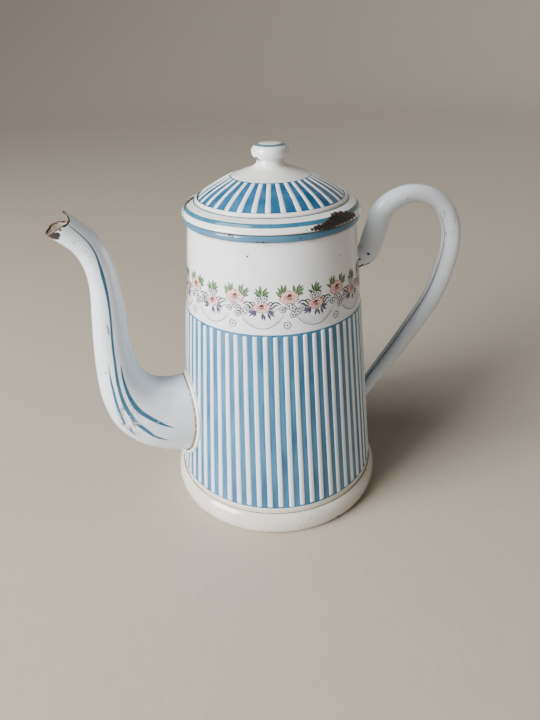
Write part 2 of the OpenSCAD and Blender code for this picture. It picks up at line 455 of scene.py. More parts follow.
@dataclass(frozen=True)
class Chip:
    """A place where the enamel has broken off the steel.

    Attributes:
        x: Its middle along X.
        y: Its middle along Y.
        z: Its middle along Z.
        size: How far it reaches from its middle.
    """

    x: float
    y: float
    z: float
    size: float

    @classmethod
    def at(cls, radius: float, degrees: float, z: float, size: float) -> "Chip":
        """Puts a chip at a radius and an angle about the pot's axis."""
        p = polar(radius, degrees, z)
        return cls(p.x, p.y, p.z, size)


def chips_at(*places: Point) -> tuple[Chip, ...]:
    """Gives the chips at (x, y, z, size) places."""
    return tuple(Chip(*place) for place in places)


def chips_round(*places: Point) -> tuple[Chip, ...]:
    """Gives the chips at (radius, angle, z, size) places about the pot's axis."""
    return tuple(Chip.at(*place) for place in places)


def chip_run(points: Sequence[Point], gap: float) -> tuple[Chip, ...]:
    """Gives chips strung along a line.

    Args:
        points: The line's (x, y, z, chip size) points.
        gap: The distance between chips, in chip sizes.

    Returns:
        The chips.
    """
    chips = []
    for a, b in zip(points, points[1:]):
        start, end = Vector(a[:3]), Vector(b[:3])
        count = max(1, math.ceil((end - start).length / (gap * min(a[3], b[3]))))
        for k in range(count):
            p = start.lerp(end, k / count)
            chips.append(Chip(p.x, p.y, p.z, a[3] + (b[3] - a[3]) * k / count))
    return tuple(chips)


@dataclass(frozen=True)
class Enamel:
    """Fired glass on steel: glossy, a little uneven, freckled, and chipped down to rusty iron.

    Attributes:
        name: The material's name.
        base: Its main colour.
        shade: The colour that it drifts to where it is thin or stained.
        drift: How much it drifts.
        clouds: The size of the drift's clouds.
        streak: How much longer the clouds are along Z.
        gloss: Its roughness.
        peel: The height of its slight waves.
        freckles: How many small dark freckles it has, from 0 to 1.
        chips: Where it is broken off.
        ragged: How ragged the chips are.
    """

    name: str
    base: Tint
    shade: Tint
    drift: float = 0.5
    clouds: float = 18.0
    streak: float = 1.0
    gloss: float = 0.14
    peel: float = 0.05
    freckles: float = 0.25
    chips: tuple[Chip, ...] = ()
    ragged: float = 1.4

    def build(self, stain: Callable[[Graph], tuple[Signal, Tint]] | None = None) -> bpy.types.Material:
        """Builds the material.

        Args:
            stain: Gives the share and the colour of a mark of the piece's own.

        Returns:
            The material.
        """
        g = Graph(self.name)
        clouds = g.noise(self.clouds, 3.0, (1, 1, self.streak))
        colour = g.blend(g.rise(clouds, 0.35, 0.75) * self.drift, self.base, self.shade)
        fine = g.noise(1.3, 2.0, (1, 1, 1.6), 7.0)
        colour = g.blend(g.rise(fine, 0.55, 0.85) * (0.25 * self.drift), colour, self.shade)
        if stain:
            share, mark = stain(g)
            colour = g.blend(share, colour, mark)
        # Freckles are dots in a few of the cells of a Voronoi pattern.
        specks = g.node("ShaderNodeTexVoronoi", {}, {"Vector": g.place, "Scale": 0.16})
        rare = g.rise(g.other(specks, "Color"), 1 - 0.5 * self.freckles, 1 - 0.45 * self.freckles)
        freckle = rare * (1 - g.rise(specks, 0.05, 0.09))
        colour = g.blend(freckle * 0.8, colour, IRON)
        rough = self.gloss + 0.08 * g.rise(g.noise(9.0, 3.0, shift=3.0), 0.4, 0.8)
        height = g.noise(7.0, 1.0, shift=11.0)
        normal = g.bump(height, self.peel)
        # A chip is bare, partly rusty iron that lies lower than the enamel, inside a stained fringe.
        if self.chips:
            far = self._distance(g)
            broken = 1 - g.rise(far, 0.88, 0.96)
            fringe = (1 - g.rise(far, 0.98, 1.16)) * (1 - broken)
            rust = g.blend(g.rise(g.noise(1.3, 3.0, shift=5.0), 0.58, 0.70), IRON, RUST)
            colour = g.blend(fringe * 0.75, colour, FRINGE)
            colour = g.blend(broken, colour, rust)
            rough = rough * (1 - broken) + broken * 0.6
            pits = g.noise(0.9, 3.0, shift=2.0)
            depth = (1 - broken) * 0.8 + broken * pits * 0.35
            normal = g.bump(depth + height * (self.peel / 0.35) * 0.2, 0.35)
        return g.surface({
            "Base Color": colour, "Roughness": rough, "Normal": normal,
            "Coat Weight": 0.3, "Coat Roughness": 0.06, "IOR": 1.52,
        })

    def _distance(self, g: Graph) -> Signal:
        """Gives the ragged distance to the nearest chip, 1 at its edge."""
        drift = g.other(g.noise(2.2, 3.0, shift=1.0), "Color")
        drift = g.node("ShaderNodeVectorMath", {"operation": "SUBTRACT"}, {0: drift, 1: (0.5, 0.5, 0.5)})
        moved = g.node("ShaderNodeVectorMath", {"operation": "MULTIPLY_ADD"},
                       {0: drift, 1: (self.ragged * 3.0,) * 3, 2: g.place})
        nearest: Signal | None = None
        for c in self.chips:
            d = g.node("ShaderNodeVectorMath", {"operation": "DISTANCE"},
                       {0: moved, 1: (c.x, c.y, c.z)}, out="Value") / c.size
            nearest = d if nearest is None else nearest.lower(d)
        return nearest


@dataclass(frozen=True)
class Paint:
    """A ceramic transfer colour: a thin, even print fired under the gloss.

    Attributes:
        name: The material's name.
        colour: The print's colour.
    """

    name: str
    colour: Tint

    def build(self) -> bpy.types.Material:
        """Builds the material."""
        g = Graph(self.name)
        return g.surface({"Base Color": self.colour, "Roughness": 0.22, "Coat Weight": 0.2,
                          "Coat Roughness": 0.08})


# ---------------------------------------------------------------- the pot's side


@dataclass
class Side:
    """The tapered side with its strainer, its rolled rim and its raised ribs.

    Attributes:
        foot_r: The outer radius that the taper has at height 0.
        taper: How much the radius shrinks for each millimetre of height.
        sheet: The thickness of the side.
        low_z: The side's lower edge, inside the foot.
        rim_z: The top of the rolled rim.
        bead_r: The radius of the roll.
        bead_rise: How much taller than round the roll is.
        ground_low: The lower edge of the blue ground.
        ground_high: The upper edge of the blue ground.
        ribs: How many ribs go round.
        rib_first: The angle of the first rib's foot, in degrees.
        rib_low: The lower end of the ribs.
        rib_high: The upper end of the ribs.
        rib_share: The share of the pitch that a rib covers.
        rib_height: How far a rib stands out.
        rib_slant: How far a rib's head is round from its foot, in degrees.
        rib_tip: The length of a rib's rounded end.
        rib_sink: How deep a rib's edges lie in the side.
        hole_r: The radius of a strainer hole.
        hole_pitch: The distance between neighbouring holes.
        strainer_x: The strainer's place along X.
        strainer_z: The height of its middle.
        strainer_w: Half of its width.
        strainer_h: Half of its height.
        drill: The length of the drill that makes a hole.
    """

    foot_r: float = 73.3
    taper: float = 0.104
    sheet: float = 1.0
    low_z: float = 1.2
    rim_z: float = 203.8
    bead_r: float = 1.75
    bead_rise: float = 1.1
    ground_low: float = 19.9
    ground_high: float = 145.4
    ribs: int = 61
    rib_first: float = -88.7
    rib_low: float = 20.7
    rib_high: float = 144.3
    rib_share: float = 0.50
    rib_height: float = 0.6
    rib_slant: float = -1.4
    rib_tip: float = 0.9
    rib_sink: float = 0.08
    hole_r: float = 1.7
    hole_pitch: float = 7.0
    strainer_x: float = -66.0
    strainer_z: float = 66.5
    strainer_w: float = 18.0
    strainer_h: float = 25.0
    drill: float = 30.0

    def radius(self, z: float) -> float:
        """Gives the outer radius of the side at height z."""
        return self.foot_r - self.taper * z

    def surface(self, degrees: float, z: float, lift: float) -> Vector:
        """Gives the point of the side at an angle and a height, lifted off it."""
        return polar(self.radius(z) + lift, degrees, z)

    def outwards(self, p: Vector) -> Vector:
        """Gives the way out of the side at a point."""
        return Vector((p.x, p.y, 0)).normalized()

    def build(self) -> None:
        """Builds the side, the rim and the ribs."""
        self._wall()
        self._bead()
        self._ribs()

    def _wall(self) -> None:
        """Turns the side from sheet and drills the strainer behind the spout."""
        top = self.rim_z - self.bead_r
        heights = [self.low_z, 10.0, 16.1, self.ground_low, 30, 40, 50, 60, 70, 80, 90, 100, 115, 130,
                   self.ground_high, 158, 172, 186, 196, top]
        outer = [(self.radius(z), z) for z in heights]
        inner = [(self.radius(z) - self.sheet, z) for z in reversed(heights)]
        white, blue, inside = range(3)

        def slot(p: Vector) -> int:
            """Gives the enamel for a part of the side."""
            if p.z < 0.5:
                return inside
            return blue if self.ground_low < p.y < self.ground_high else white

        shape = Shape()
        shape.turned(outer + inner, 180, closed=True, slot_of=slot)
        wall = shape.finish("side", Body.POT, "enamel_white", [
            self._white().build(self._band_marks), self._blue().build(), inside_enamel().build(),
        ], ["body_wall"], 40)
        self._drill(wall)

    def _strainer(self) -> list[Vector]:
        """Gives the middles of the strainer's holes, in rows shifted by half a pitch."""
        step = self.hole_pitch * math.sin(math.radians(60))
        middles = []
        for row in range(-3, 4):
            up = row * step
            for column in range(-4, 5):
                across = (column + (0.5 if row % 2 else 0.0)) * self.hole_pitch
                if math.hypot(across / self.strainer_w, up / self.strainer_h) < 1:
                    middles.append(Vector((self.strainer_x, across, self.strainer_z + up)))
        return middles

    def _drill(self, wall: bpy.types.Object) -> None:
        """Drills the strainer's holes through the wall's mesh, along X."""
        drills = bmesh.new()
        for middle in self._strainer():
            turn = Matrix.Translation(middle) @ Matrix.Rotation(math.pi / 2, 4, "Y")
            bmesh.ops.create_cone(drills, cap_ends=True, segments=24, radius1=self.hole_r,
                                  radius2=self.hole_r, depth=self.drill, matrix=turn)
        bmesh.ops.scale(drills, vec=(MM, MM, MM), verts=drills.verts[:])
        mesh = bpy.data.meshes.new("drills")
        drills.to_mesh(mesh)
        drills.free()
        cutter = bpy.data.objects.new("drills", mesh)
        bpy.context.scene.collection.objects.link(cutter)
        cut = wall.modifiers.new("strainer", "BOOLEAN")
        cut.object, cut.operation, cut.solver = cutter, "DIFFERENCE", "EXACT"
        graph = bpy.context.evaluated_depsgraph_get()
        result = bpy.data.meshes.new_from_object(wall.evaluated_get(graph))
        wall.modifiers.clear()
        wall.data = result
        result.set_sharp_from_angle(angle=math.radians(40))
        bpy.data.objects.remove(cutter)

    def _bead(self) -> None:
        """Turns the rolled rim."""
        top = self.rim_z - self.bead_r
        middle = self.radius(top) - self.sheet + self.bead_r
        low = top - self.bead_rise
        profile = [(middle + self.bead_r * math.cos(a), top + self.bead_r * math.sin(a))
                   for a in (math.pi * k / 12 for k in range(13))]
        profile += [(middle + self.bead_r * math.cos(a), low + self.bead_r * math.sin(a))
                    for a in (math.pi * (1 + k / 12) for k in range(13))]
        chips = chips_round(
            (54.4, -133.5, 203.0, 0.9), (54.5, -131.5, 202.6, 0.8), (54.5, -116.5, 200.0, 0.9),
            (54.4, -113.5, 199.7, 1.2), (54.4, -111.0, 199.5, 1.0), (54.6, -92.0, 201.5, 0.6),
            (54.2, -84.0, 199.6, 0.6), (54.3, -150.0, 199.9, 0.7), (54.6, 30.0, 201.0, 1.4),
            (54.3, 96.0, 199.8, 1.1), (54.6, 150.0, 200.9, 0.9),
        )
        enamel = Enamel("rim_blue", BEAD_BLUE, tint(66, 108, 136), 0.7, 8.0, freckles=0.5, chips=chips,
                        ragged=0.3, gloss=0.16)

        def worn_edge(g: Graph) -> tuple[Signal, Tint]:
            """Marks the worn brown line along the roll's lower edge, and paints shade on its top under the
            lid.
            """
            patches = g.rise(g.noise(9.0, 3.0, shift=4.0), 0.42, 0.60)
            # Painted shade: a steady dark band on the roll's top, where the lid rests on it, stands in for
            # the shadow in that gap.
            lid_gap_shade = g.rise(g.z, 203.1, 203.6)
            return ((1 - g.rise(g.z, 198.9, 199.6)) * patches * 0.9).upper(lid_gap_shade * 0.9), tint(92, 70, 44)

        shape = Shape()
        shape.turned(profile, 180, closed=True)
        shape.finish("rolled_rim", Body.POT, "enamel_blue", [enamel.build(worn_edge)])

    def _ribs(self) -> None:
        """Lays the raised ribs, each a little off true as if laid by hand."""
        rng = random.Random(11)
        pitch = 360 / self.ribs
        shape = Shape()
        for k in range(self.ribs):
            centre = self.rib_first + k * pitch + rng.uniform(-0.18, 0.18)
            lean = rng.uniform(-0.14, 0.14)
            low, high = self.rib_low + rng.uniform(-0.3, 0.6), self.rib_high + rng.uniform(-0.5, 0.4)
            share = self.rib_share + rng.uniform(-0.03, 0.03)
            wave, phase = rng.uniform(0.03, 0.1), rng.uniform(0, math.tau)

            def place(u: float, v: float) -> Vector:
                """Gives a point of the rib, u across it and v up it."""
                s, t = 2 * u - 1, 2 * v - 1
                span = high - low
                z = low + span * v
                half = 0.5 * share * pitch
                end = (1 - abs(t)) * span / 2
                tip = math.sqrt(max(1 - (1 - min(end / self.rib_tip, 1.0)) ** 2, 0.0))
                width = half * (0.72 + 0.28 * tip)
                rise = self.rib_height * max(1 - s * s, 0.0) ** 0.4 * tip
                drift = self.rib_slant * v + lean * t + wave * math.sin(phase + 7 * v)
                return self.surface(centre + drift + width * s, z, rise - self.rib_sink)

            shape.patch(8, 26, tight_ends(place), outward=self.outwards)
        enamel = Enamel("rib_white", COOL_WHITE, tint(186, 205, 220), 0.55, 14.0, 3.0, gloss=0.12,
                        freckles=0.12, peel=0.04)
        shape.finish("ribs", Body.POT, "enamel_white", [enamel.build(self._thin_edge)], sharp=80)

    def _thin_edge(self, g: Graph) -> tuple[Signal, Tint]:
        """Lets the blue ground show through the thin edges of the ribs."""
        lift = g.radius() + g.z * self.taper - self.foot_r
        return (1 - g.rise(lift, 0.02, 0.34)) * 0.55, tint(132, 172, 200)

    def _white(self) -> Enamel:
        """Gives the white enamel of the band above the ribs."""
        chips = chips_round(
            (53.3, -123.5, 191.5, 0.6), (53.0, -122.5, 192.6, 0.4), (54.0, -62.0, 186.0, 0.4),
            (55.6, -28.0, 171.0, 0.6),
        )
        return Enamel("side_white", WHITE, tint(203, 208, 214), 0.5, 24.0, chips=chips, ragged=0.2,
                      freckles=0.1, gloss=0.12)

    @staticmethod
    def _band_marks(g: Graph) -> tuple[Signal, Tint]:
        """Marks the creamier strip by the foot and the grime under the rim."""
        foot = 1 - g.rise(g.z, 18.0, 20.5)
        rim = g.rise(g.z, 196.5, 199.3) * g.rise(g.noise(8.0, 3.0, (1, 1, 0.5)), 0.40, 0.60) * 0.8
        return foot * 0.7 + rim, tint(198, 184, 160)

    @staticmethod
    def _blue() -> Enamel:
        """Gives the blue ground between the ribs."""
        return Enamel("side_blue", BLUE, DEEP_BLUE, 0.95, 4.5, 9.0, gloss=0.14, freckles=0.2, peel=0.09)


def inside_enamel() -> Enamel:
    """Gives the white enamel inside the pot, browned by coffee."""
    return Enamel("inside_white", tint(214, 212, 205), tint(176, 160, 136), 0.7, 30.0, freckles=0.4,
                  gloss=0.2)


# ---------------------------------------------------------------- the flower band


class Dye(Enum):
    """The colours of the printed flower band, in the order of their slots."""

    INK = (32, 40, 68)
    PALE_INK = (122, 130, 154)
    PALE_ROSE = (222, 186, 179)
    PINK = (176, 118, 114)
    ROSE = (150, 86, 84)
    DEEP_ROSE = (88, 30, 32)
    LEAF = (112, 140, 96)
    DARK_LEAF = (38, 70, 44)
    PETAL = (238, 240, 245)
    VIOLET = (104, 98, 128)
    YOLK = (206, 178, 96)
    RIBBON = (34, 48, 58)

    def slot(self) -> int:
        """Gives the dye's place in the list of materials."""
        return list(Dye).index(self)

    def material(self) -> bpy.types.Material:
        """Builds the dye's material."""
        return Paint("dye_" + self.name.lower(), tint(*self.value)).build()


@dataclass
class FlowerBand:
    """The printed band: roses, leaves, small white flowers, ribbons and swags, repeated round the side.

    Attributes:
        side: The side that it is printed on.
        repeats: How many times the pattern goes round.
        first: The angle where the first repeat starts, in degrees.
        reach: The length of a repeat.
        swag_z: The height of the middle of the swags' arcs.
        shape: The mesh that takes the print.
        turn: The angle where the current repeat starts.
        layer: How many spots have been laid.
    """

    side: Side
    repeats: int = 11
    first: float = -99.0
    reach: float = 32.2
    swag_z: float = 162.6
    shape: Shape = field(default_factory=Shape)
    turn: float = 0.0
    layer: int = 0

    def build(self) -> None:
        """Prints every repeat and finishes the band."""
        rng = random.Random(5)
        for k in range(self.repeats):
            self.turn = self.first + k * 360 / self.repeats
            self._repeat(rng)
        self.shape.finish("flower_band", Body.POT, "enamel_white", [d.material() for d in Dye], sharp=80)

    def _repeat(self, rng: random.Random) -> None:
        """Prints one repeat: a rose bunch, then a lower bunch half a repeat on.

        Args:
            rng: Where its small irregularities come from.
        """
        half = self.reach / 2
        self._swag(half)
        self._leaves(-2.6, 169.0, (84, 104, 126, 150, 172), (6.4, 6.8, 6.4, 5.8, 4.4), rng)
        self._leaves(3.8, 168.8, (96, 74, 52, 30, 8), (6.2, 6.8, 6.6, 6.0, 4.6), rng)
        self._ribbon(1)
        self._ribbon(-1)
        self._rose(0.0, 167.8, (6.0, 4.3), rng)
        for u, z in ((-0.6, 162.9), (5.0, 159.4), (-3.9, 160.8), (1.8, 157.6), (7.4, 161.0), (1.9, 161.3)):
            self._small_flower(u + rng.uniform(-0.3, 0.3), z + rng.uniform(-0.3, 0.3), 1.95, rng)
        self._outline_flower(-1.5, 151.2, rng)
        self._leaves(half, 168.4, (90, 62, 34, 118, 148, 8), (6.6, 6.2, 5.4, 6.0, 5.2, 4.2), rng)
        for du, z, ways, lengths in (
            (-2.8, 160.4, (196, 222, 250), (5.0, 5.6, 4.2)), (0.4, 159.6, (262, 288), (4.6, 5.2)),
            (3.0, 160.2, (292, 318, 344), (5.6, 5.4, 4.6)),
        ):
            self._leaves(half + du, z, ways, lengths, rng, 0.85, Dye.VIOLET, Dye.INK)
        self._rose(half, 162.4, (5.6, 3.3), rng)
        for u, z in ((-2.0, 167.6), (1.8, 167.8), (0.0, 165.6)):
            self._small_flower(half + u, z, 1.7, rng)

    def _lay(self, centre: Point, size: Point, turn: float, sides: int, dye: Dye, level: int,
             point: float = 0.0) -> None:
        """Lays one spot of dye on the side.

        Args:
            centre: Its place, round the side and up it, in millimetres.
            size: Its half length and half width.
            turn: The way that its length runs, in degrees.
            sides: How many corners it has.
            dye: Its colour.
            level: How many spots it lies over.
            point: How pointed its ends are, from 0 to 1.
        """
        lift = self._lift(level)
        c, s = math.cos(math.radians(turn)), math.sin(math.radians(turn))

        def place(p: Vector) -> Vector:
            """Puts a point of the unit disc on the side."""
            narrow = 1 - point * abs(p.x)
            a, b = p.x * size[0], p.y * size[1] * narrow
            return self._on_side(centre[0] + a * c - b * s, centre[1] + a * s + b * c, lift)

        self.shape.disc(sides, place, dye.slot())

    def _lift(self, level: int) -> float:
        """Gives the next spot's height over the side, so that no two spots that overlap share one."""
        self.layer += 1
        return 0.05 + 0.045 * level + 0.0008 * (self.layer % 40)

    def _on_side(self, u: float, z: float, lift: float) -> Vector:
        """Gives the side's point u millimetres round it from the repeat's start."""
        return self.side.surface(self.turn + u / self.reach * 360 / self.repeats, z, lift)

    def _stroke(self, line: Sequence[Point], width: float, dye: Dye, level: int = 1) -> None:
        """Draws a line of one width, thinner at its ends.

        Args:
            line: Its points, round the side and up it.
            width: Its width.
            dye: Its colour.
            level: How many spots it lies over.
        """
        lift = self._lift(level)

        def place(u: float, v: float) -> Vector:
            """Gives a point of the stroke."""
            t = v * (len(line) - 1)
            p, way = along(line, t), heading(line, t)
            half = width / 2 * min(1.0, 0.35 + 5 * min(v, 1 - v))
            off = (2 * u - 1) * half
            return self._on_side(p[0] - way.y * off, p[1] + way.x * off, lift)

        self.shape.patch(1, max(6, len(line) * 3), place, dye.slot(), outward=self.side.outwards)

    def _arc(self, centre: Point, size: Point, low: float, high: float, width: float, dye: Dye,
             level: int) -> None:
        """Draws part of an ellipse.

        Args:
            centre: The ellipse's middle.
            size: Its half width and half height.
            low: The angle where the arc starts, in degrees.
            high: The angle where it ends.
            width: The stroke's width.
            dye: Its colour.
            level: How many spots it lies over.
        """
        angles = (math.radians(low + (high - low) * k / 4) for k in range(5))
        line = [(centre[0] + size[0] * math.cos(a), centre[1] + size[1] * math.sin(a)) for a in angles]
        self._stroke(line, width, dye, level)

    def _rose(self, u: float, z: float, size: Point, rng: random.Random) -> None:
        """Prints a full rose: pale petals edged in pink round a dark heart.

        Args:
            u: Its middle, round the side.
            z: Its middle, up the side.
            size: Its half width and half height.
            rng: Where its small irregularities come from.
        """
        wide, high = size

        def spot(angle: float, share: float) -> Point:
            """Gives the point at an angle, a share of the way out from the middle."""
            a = math.radians(angle)
            return u + wide * share * math.cos(a), z + high * share * math.sin(a)

        self._lay((u, z), (0.80 * wide, 0.78 * high), 0, 16, Dye.PETAL, 2)
        for k in range(8):
            a = 14 + k * 45 + rng.uniform(-9, 9)
            p, r = spot(a, 0.68), rng.uniform(0.9, 1.1)
            self._lay(p, (0.27 * wide * r, 0.33 * high * r), 0, 10, Dye.PALE_ROSE, 3)
            self._arc(p, (0.26 * wide * r, 0.32 * high * r), a - 95, a + 75, 0.42, Dye.PINK, 4)
        for k in range(6):
            a = k * 60 + rng.uniform(-14, 14)
            self._arc((u, z), (wide * 0.50, high * 0.48), a, a + 42, 0.55, Dye.PINK, 4)
            b = a + 30 + rng.uniform(-9, 9)
            self._arc((u, z), (wide * 0.86, high * 0.84), b, b + 16, 0.36, Dye.ROSE, 5)
        self._lay(spot(80, 0.12), (0.32 * wide, 0.36 * high), rng.uniform(0, 40), 10, Dye.PINK, 4)
        self._arc(spot(80, 0.12), (0.32 * wide, 0.36 * high), 150, 330, 0.6, Dye.ROSE, 5)
        self._lay(spot(88, 0.28), (0.19 * wide, 0.22 * high), rng.uniform(-20, 30), 8, Dye.DEEP_ROSE, 5)
        self._lay(spot(300, 0.26), (0.13 * wide, 0.10 * high), 35, 7, Dye.DEEP_ROSE, 5, 0.4)
        for low in (200, 238, 318, 18):
            self._arc(spot(80, 0.08), (0.46 * wide, 0.50 * high), low, low + 20, 0.34, Dye.DEEP_ROSE, 6)

    def _leaves(self, u: float, z: float, ways: Sequence[float], lengths: Sequence[float],
                rng: random.Random, width: float = 1.0, dye: Dye = Dye.LEAF,
                rim: Dye = Dye.DARK_LEAF) -> None:
        """Prints a sprig of pointed leaves, each with a dark rim and a dark half.

        Args:
            u: The sprig's foot, round the side.
            z: The sprig's foot, up the side.
            ways: The way that each leaf points, in degrees.
            lengths: The length of each leaf.
            rng: Where its small irregularities come from.
            width: How wide the leaves are.
            dye: The leaf's colour.
            rim: The colour of its rim and darker half.
        """
        for way, length in zip(ways, lengths):
            way += rng.uniform(-7, 7)
            c, s = math.cos(math.radians(way)), math.sin(math.radians(way))
            mid = (u + c * length * 0.60, z + s * length * 0.60)
            off = 0.30 * width
            inset = (mid[0] + s * off, mid[1] - c * off)
            self._lay(mid, (length * 0.46, 0.98 * width), way, 12, rim, 0, 0.70)
            self._lay(inset, (length * 0.40, 0.52 * width), way, 10, dye, 1, 0.75)
            self._stroke([(u + c * length * 0.1, z + s * length * 0.1), mid], 0.28, rim, 1)

    def _small_flower(self, u: float, z: float, size: float, rng: random.Random) -> None:
        """Prints a small white flower of five petals outlined in ink."""
        start = rng.uniform(0, 72)
        spots = [(u + 0.58 * size * math.cos(math.radians(start + 72 * k)),
                  z + 0.58 * size * math.sin(math.radians(start + 72 * k))) for k in range(5)]
        for p in spots:
            self._lay(p, (0.50 * size, 0.50 * size), 0, 9, Dye.INK, 4)
        for p in spots:
            self._lay(p, (0.28 * size, 0.28 * size), 0, 8, Dye.PETAL, 5)
        self._lay((u, z), (0.26 * size, 0.26 * size), 0, 7, Dye.INK, 6)
        self._lay((u, z), (0.13 * size, 0.13 * size), 0, 6, Dye.YOLK, 7)

    def _outline_flower(self, u: float, z: float, rng: random.Random) -> None:
        """Prints the lone flower under a rose: five petals in outline."""
        start = rng.uniform(0, 72)
        for k in range(5):
            a = start + 72 * k
            p = (u + 1.35 * math.cos(math.radians(a)), z + 1.35 * math.sin(math.radians(a)))
            self._arc(p, (0.95, 0.95), a - 115, a + 115, 0.38, Dye.INK, 1)
        self._lay((u, z), (0.55, 0.55), 0, 7, Dye.INK, 1)

    def _ribbon(self, way: int) -> None:
        """Prints the curled ribbon from a rose bunch towards the next bunch."""
        curl = [(4.8, 163.4), (6.6, 165.0), (8.8, 165.2), (10.6, 163.6), (11.6, 161.8), (9.8, 162.0),
                (8.0, 163.6), (6.2, 163.2)]
        self._stroke([(way * a, b) for a, b in curl], 0.8, Dye.RIBBON, 2)
        tail = [(5.8, 162.0), (7.4, 161.2), (9.0, 160.2), (10.4, 160.9), (11.8, 160.2)]
        self._stroke([(way * a, b) for a, b in tail], 0.5, Dye.VIOLET, 2)
        knot = [(9.4, 164.8), (11.0, 165.6), (12.6, 164.2), (13.6, 162.6)]
        self._stroke([(way * a, b) for a, b in knot], 0.6, Dye.RIBBON, 2)

    def _swag(self, half: float) -> None:
        """Prints the hanging arc between two rose bunches, with its faint lace."""
        self._hang(half, 13.3, (202, 338), 0.42, Dye.INK)
        self._hang(half, 12.2, (214, 262), 0.24, Dye.PALE_INK)
        self._hang(half, 12.2, (286, 328), 0.24, Dye.PALE_INK)
        for radius, count in ((11.2, 26), (9.9, 20), (8.6, 15)):
            for k in range(count):
                a = math.radians(208 + 124 * k / (count - 1))
                dot = (half + radius * math.cos(a), self.swag_z + radius * math.sin(a))
                self._lay(dot, (0.30, 0.16), math.degrees(a) + 90, 5, Dye.PALE_INK, 0)

    def _hang(self, u: float, radius: float, reach: Point, width: float, dye: Dye) -> None:
        """Draws one hanging arc between two angles."""
        angles = (math.radians(reach[0] + (reach[1] - reach[0]) * k / 14) for k in range(15))
        line = [(u + radius * math.cos(a), self.swag_z + radius * math.sin(a)) for a in angles]
        self._stroke(line, width, dye, 0)


# ---------------------------------------------------------------- the foot


@dataclass
class Foot:
    """The bulged foot band and the bottom plate.

    Attributes:
        side: The side that it laps.
        lip_z: The height of the band's upper lip.
        wide_r: Its widest radius.
    """

    side: Side
    lip_z: float = 16.2
    wide_r: float = 75.95

    def build(self) -> None:
        """Builds the foot band and the bottom plate."""
        lip = self.side.radius(self.lip_z)
        outer = smooth_path([
            (lip + 0.15, self.lip_z), (lip + 0.9, self.lip_z - 0.5), (74.2, 13.9), (75.5, 11.2),
            (self.wide_r, 7.6), (75.7, 4.2), (75.0, 1.7), (73.9, 0.25),
        ], 4)
        under = [(73.4, 0.0), (71.8, 0.0), (70.5, 0.7), (69.2, 2.0), (67.2, 2.6), (63.0, 2.6), (63.0, 3.6)]
        inner = [(67.4, 3.6), (70.0, 3.0), (72.0, 1.15), (73.4, 1.15), (74.4, 3.2), (74.8, 7.6), (74.2, 10.8),
                 (73.0, 12.8), (lip + 0.1, 14.4)]
        chips = chips_round(
            (75.2, -74, 1.6, 1.6), (75.4, -60, 1.2, 1.1), (75.2, -112, 1.0, 1.0), (75.3, -150, 1.8, 1.3),
            (75.2, 40, 1.5, 2.2), (75.2, 120, 1.5, 1.8), (75.4, -35, 2.2, 1.6), (75.3, 178, 1.4, 1.8),
            (73.4, -42, 15.6, 0.7),
        )
        enamel = Enamel("foot_cream", CREAM, tint(196, 190, 178), 0.55, 16.0, freckles=0.4, chips=chips,
                        ragged=0.7, gloss=0.13, peel=0.09)

        def grime(g: Graph) -> tuple[Signal, Tint]:
            """Marks the seam at the band's lip and the rubbed lower edge."""
            seam = g.rise(g.z, 15.7, 16.0) * g.rise(g.noise(16.0, 2.0, shift=8.0), 0.2, 0.45)
            rub = (1 - g.rise(g.z, 0.3, 3.4)) * g.rise(g.noise(5.0, 3.0, shift=9.0), 0.40, 0.72) * 0.6
            return seam * 0.85 + rub, tint(92, 78, 58)

        shape = Shape()
        shape.turned(outer + under + inner, 180, closed=True)
        shape.finish("foot_band", Body.POT, "enamel_cream", [enamel.build(grime)], ["foot_ring"], 60)
        plate = Shape()
        plate.turned([(0.0, 4.6), (60.0, 4.6), (71.4, 4.6), (71.4, 3.75), (60.0, 3.75), (0.0, 3.75)], 120)
        plate.finish("bottom", Body.POT, "enamel_white", [inside_enamel().build()], ["bottom_plate"], 40)


# ---------------------------------------------------------------- the spout


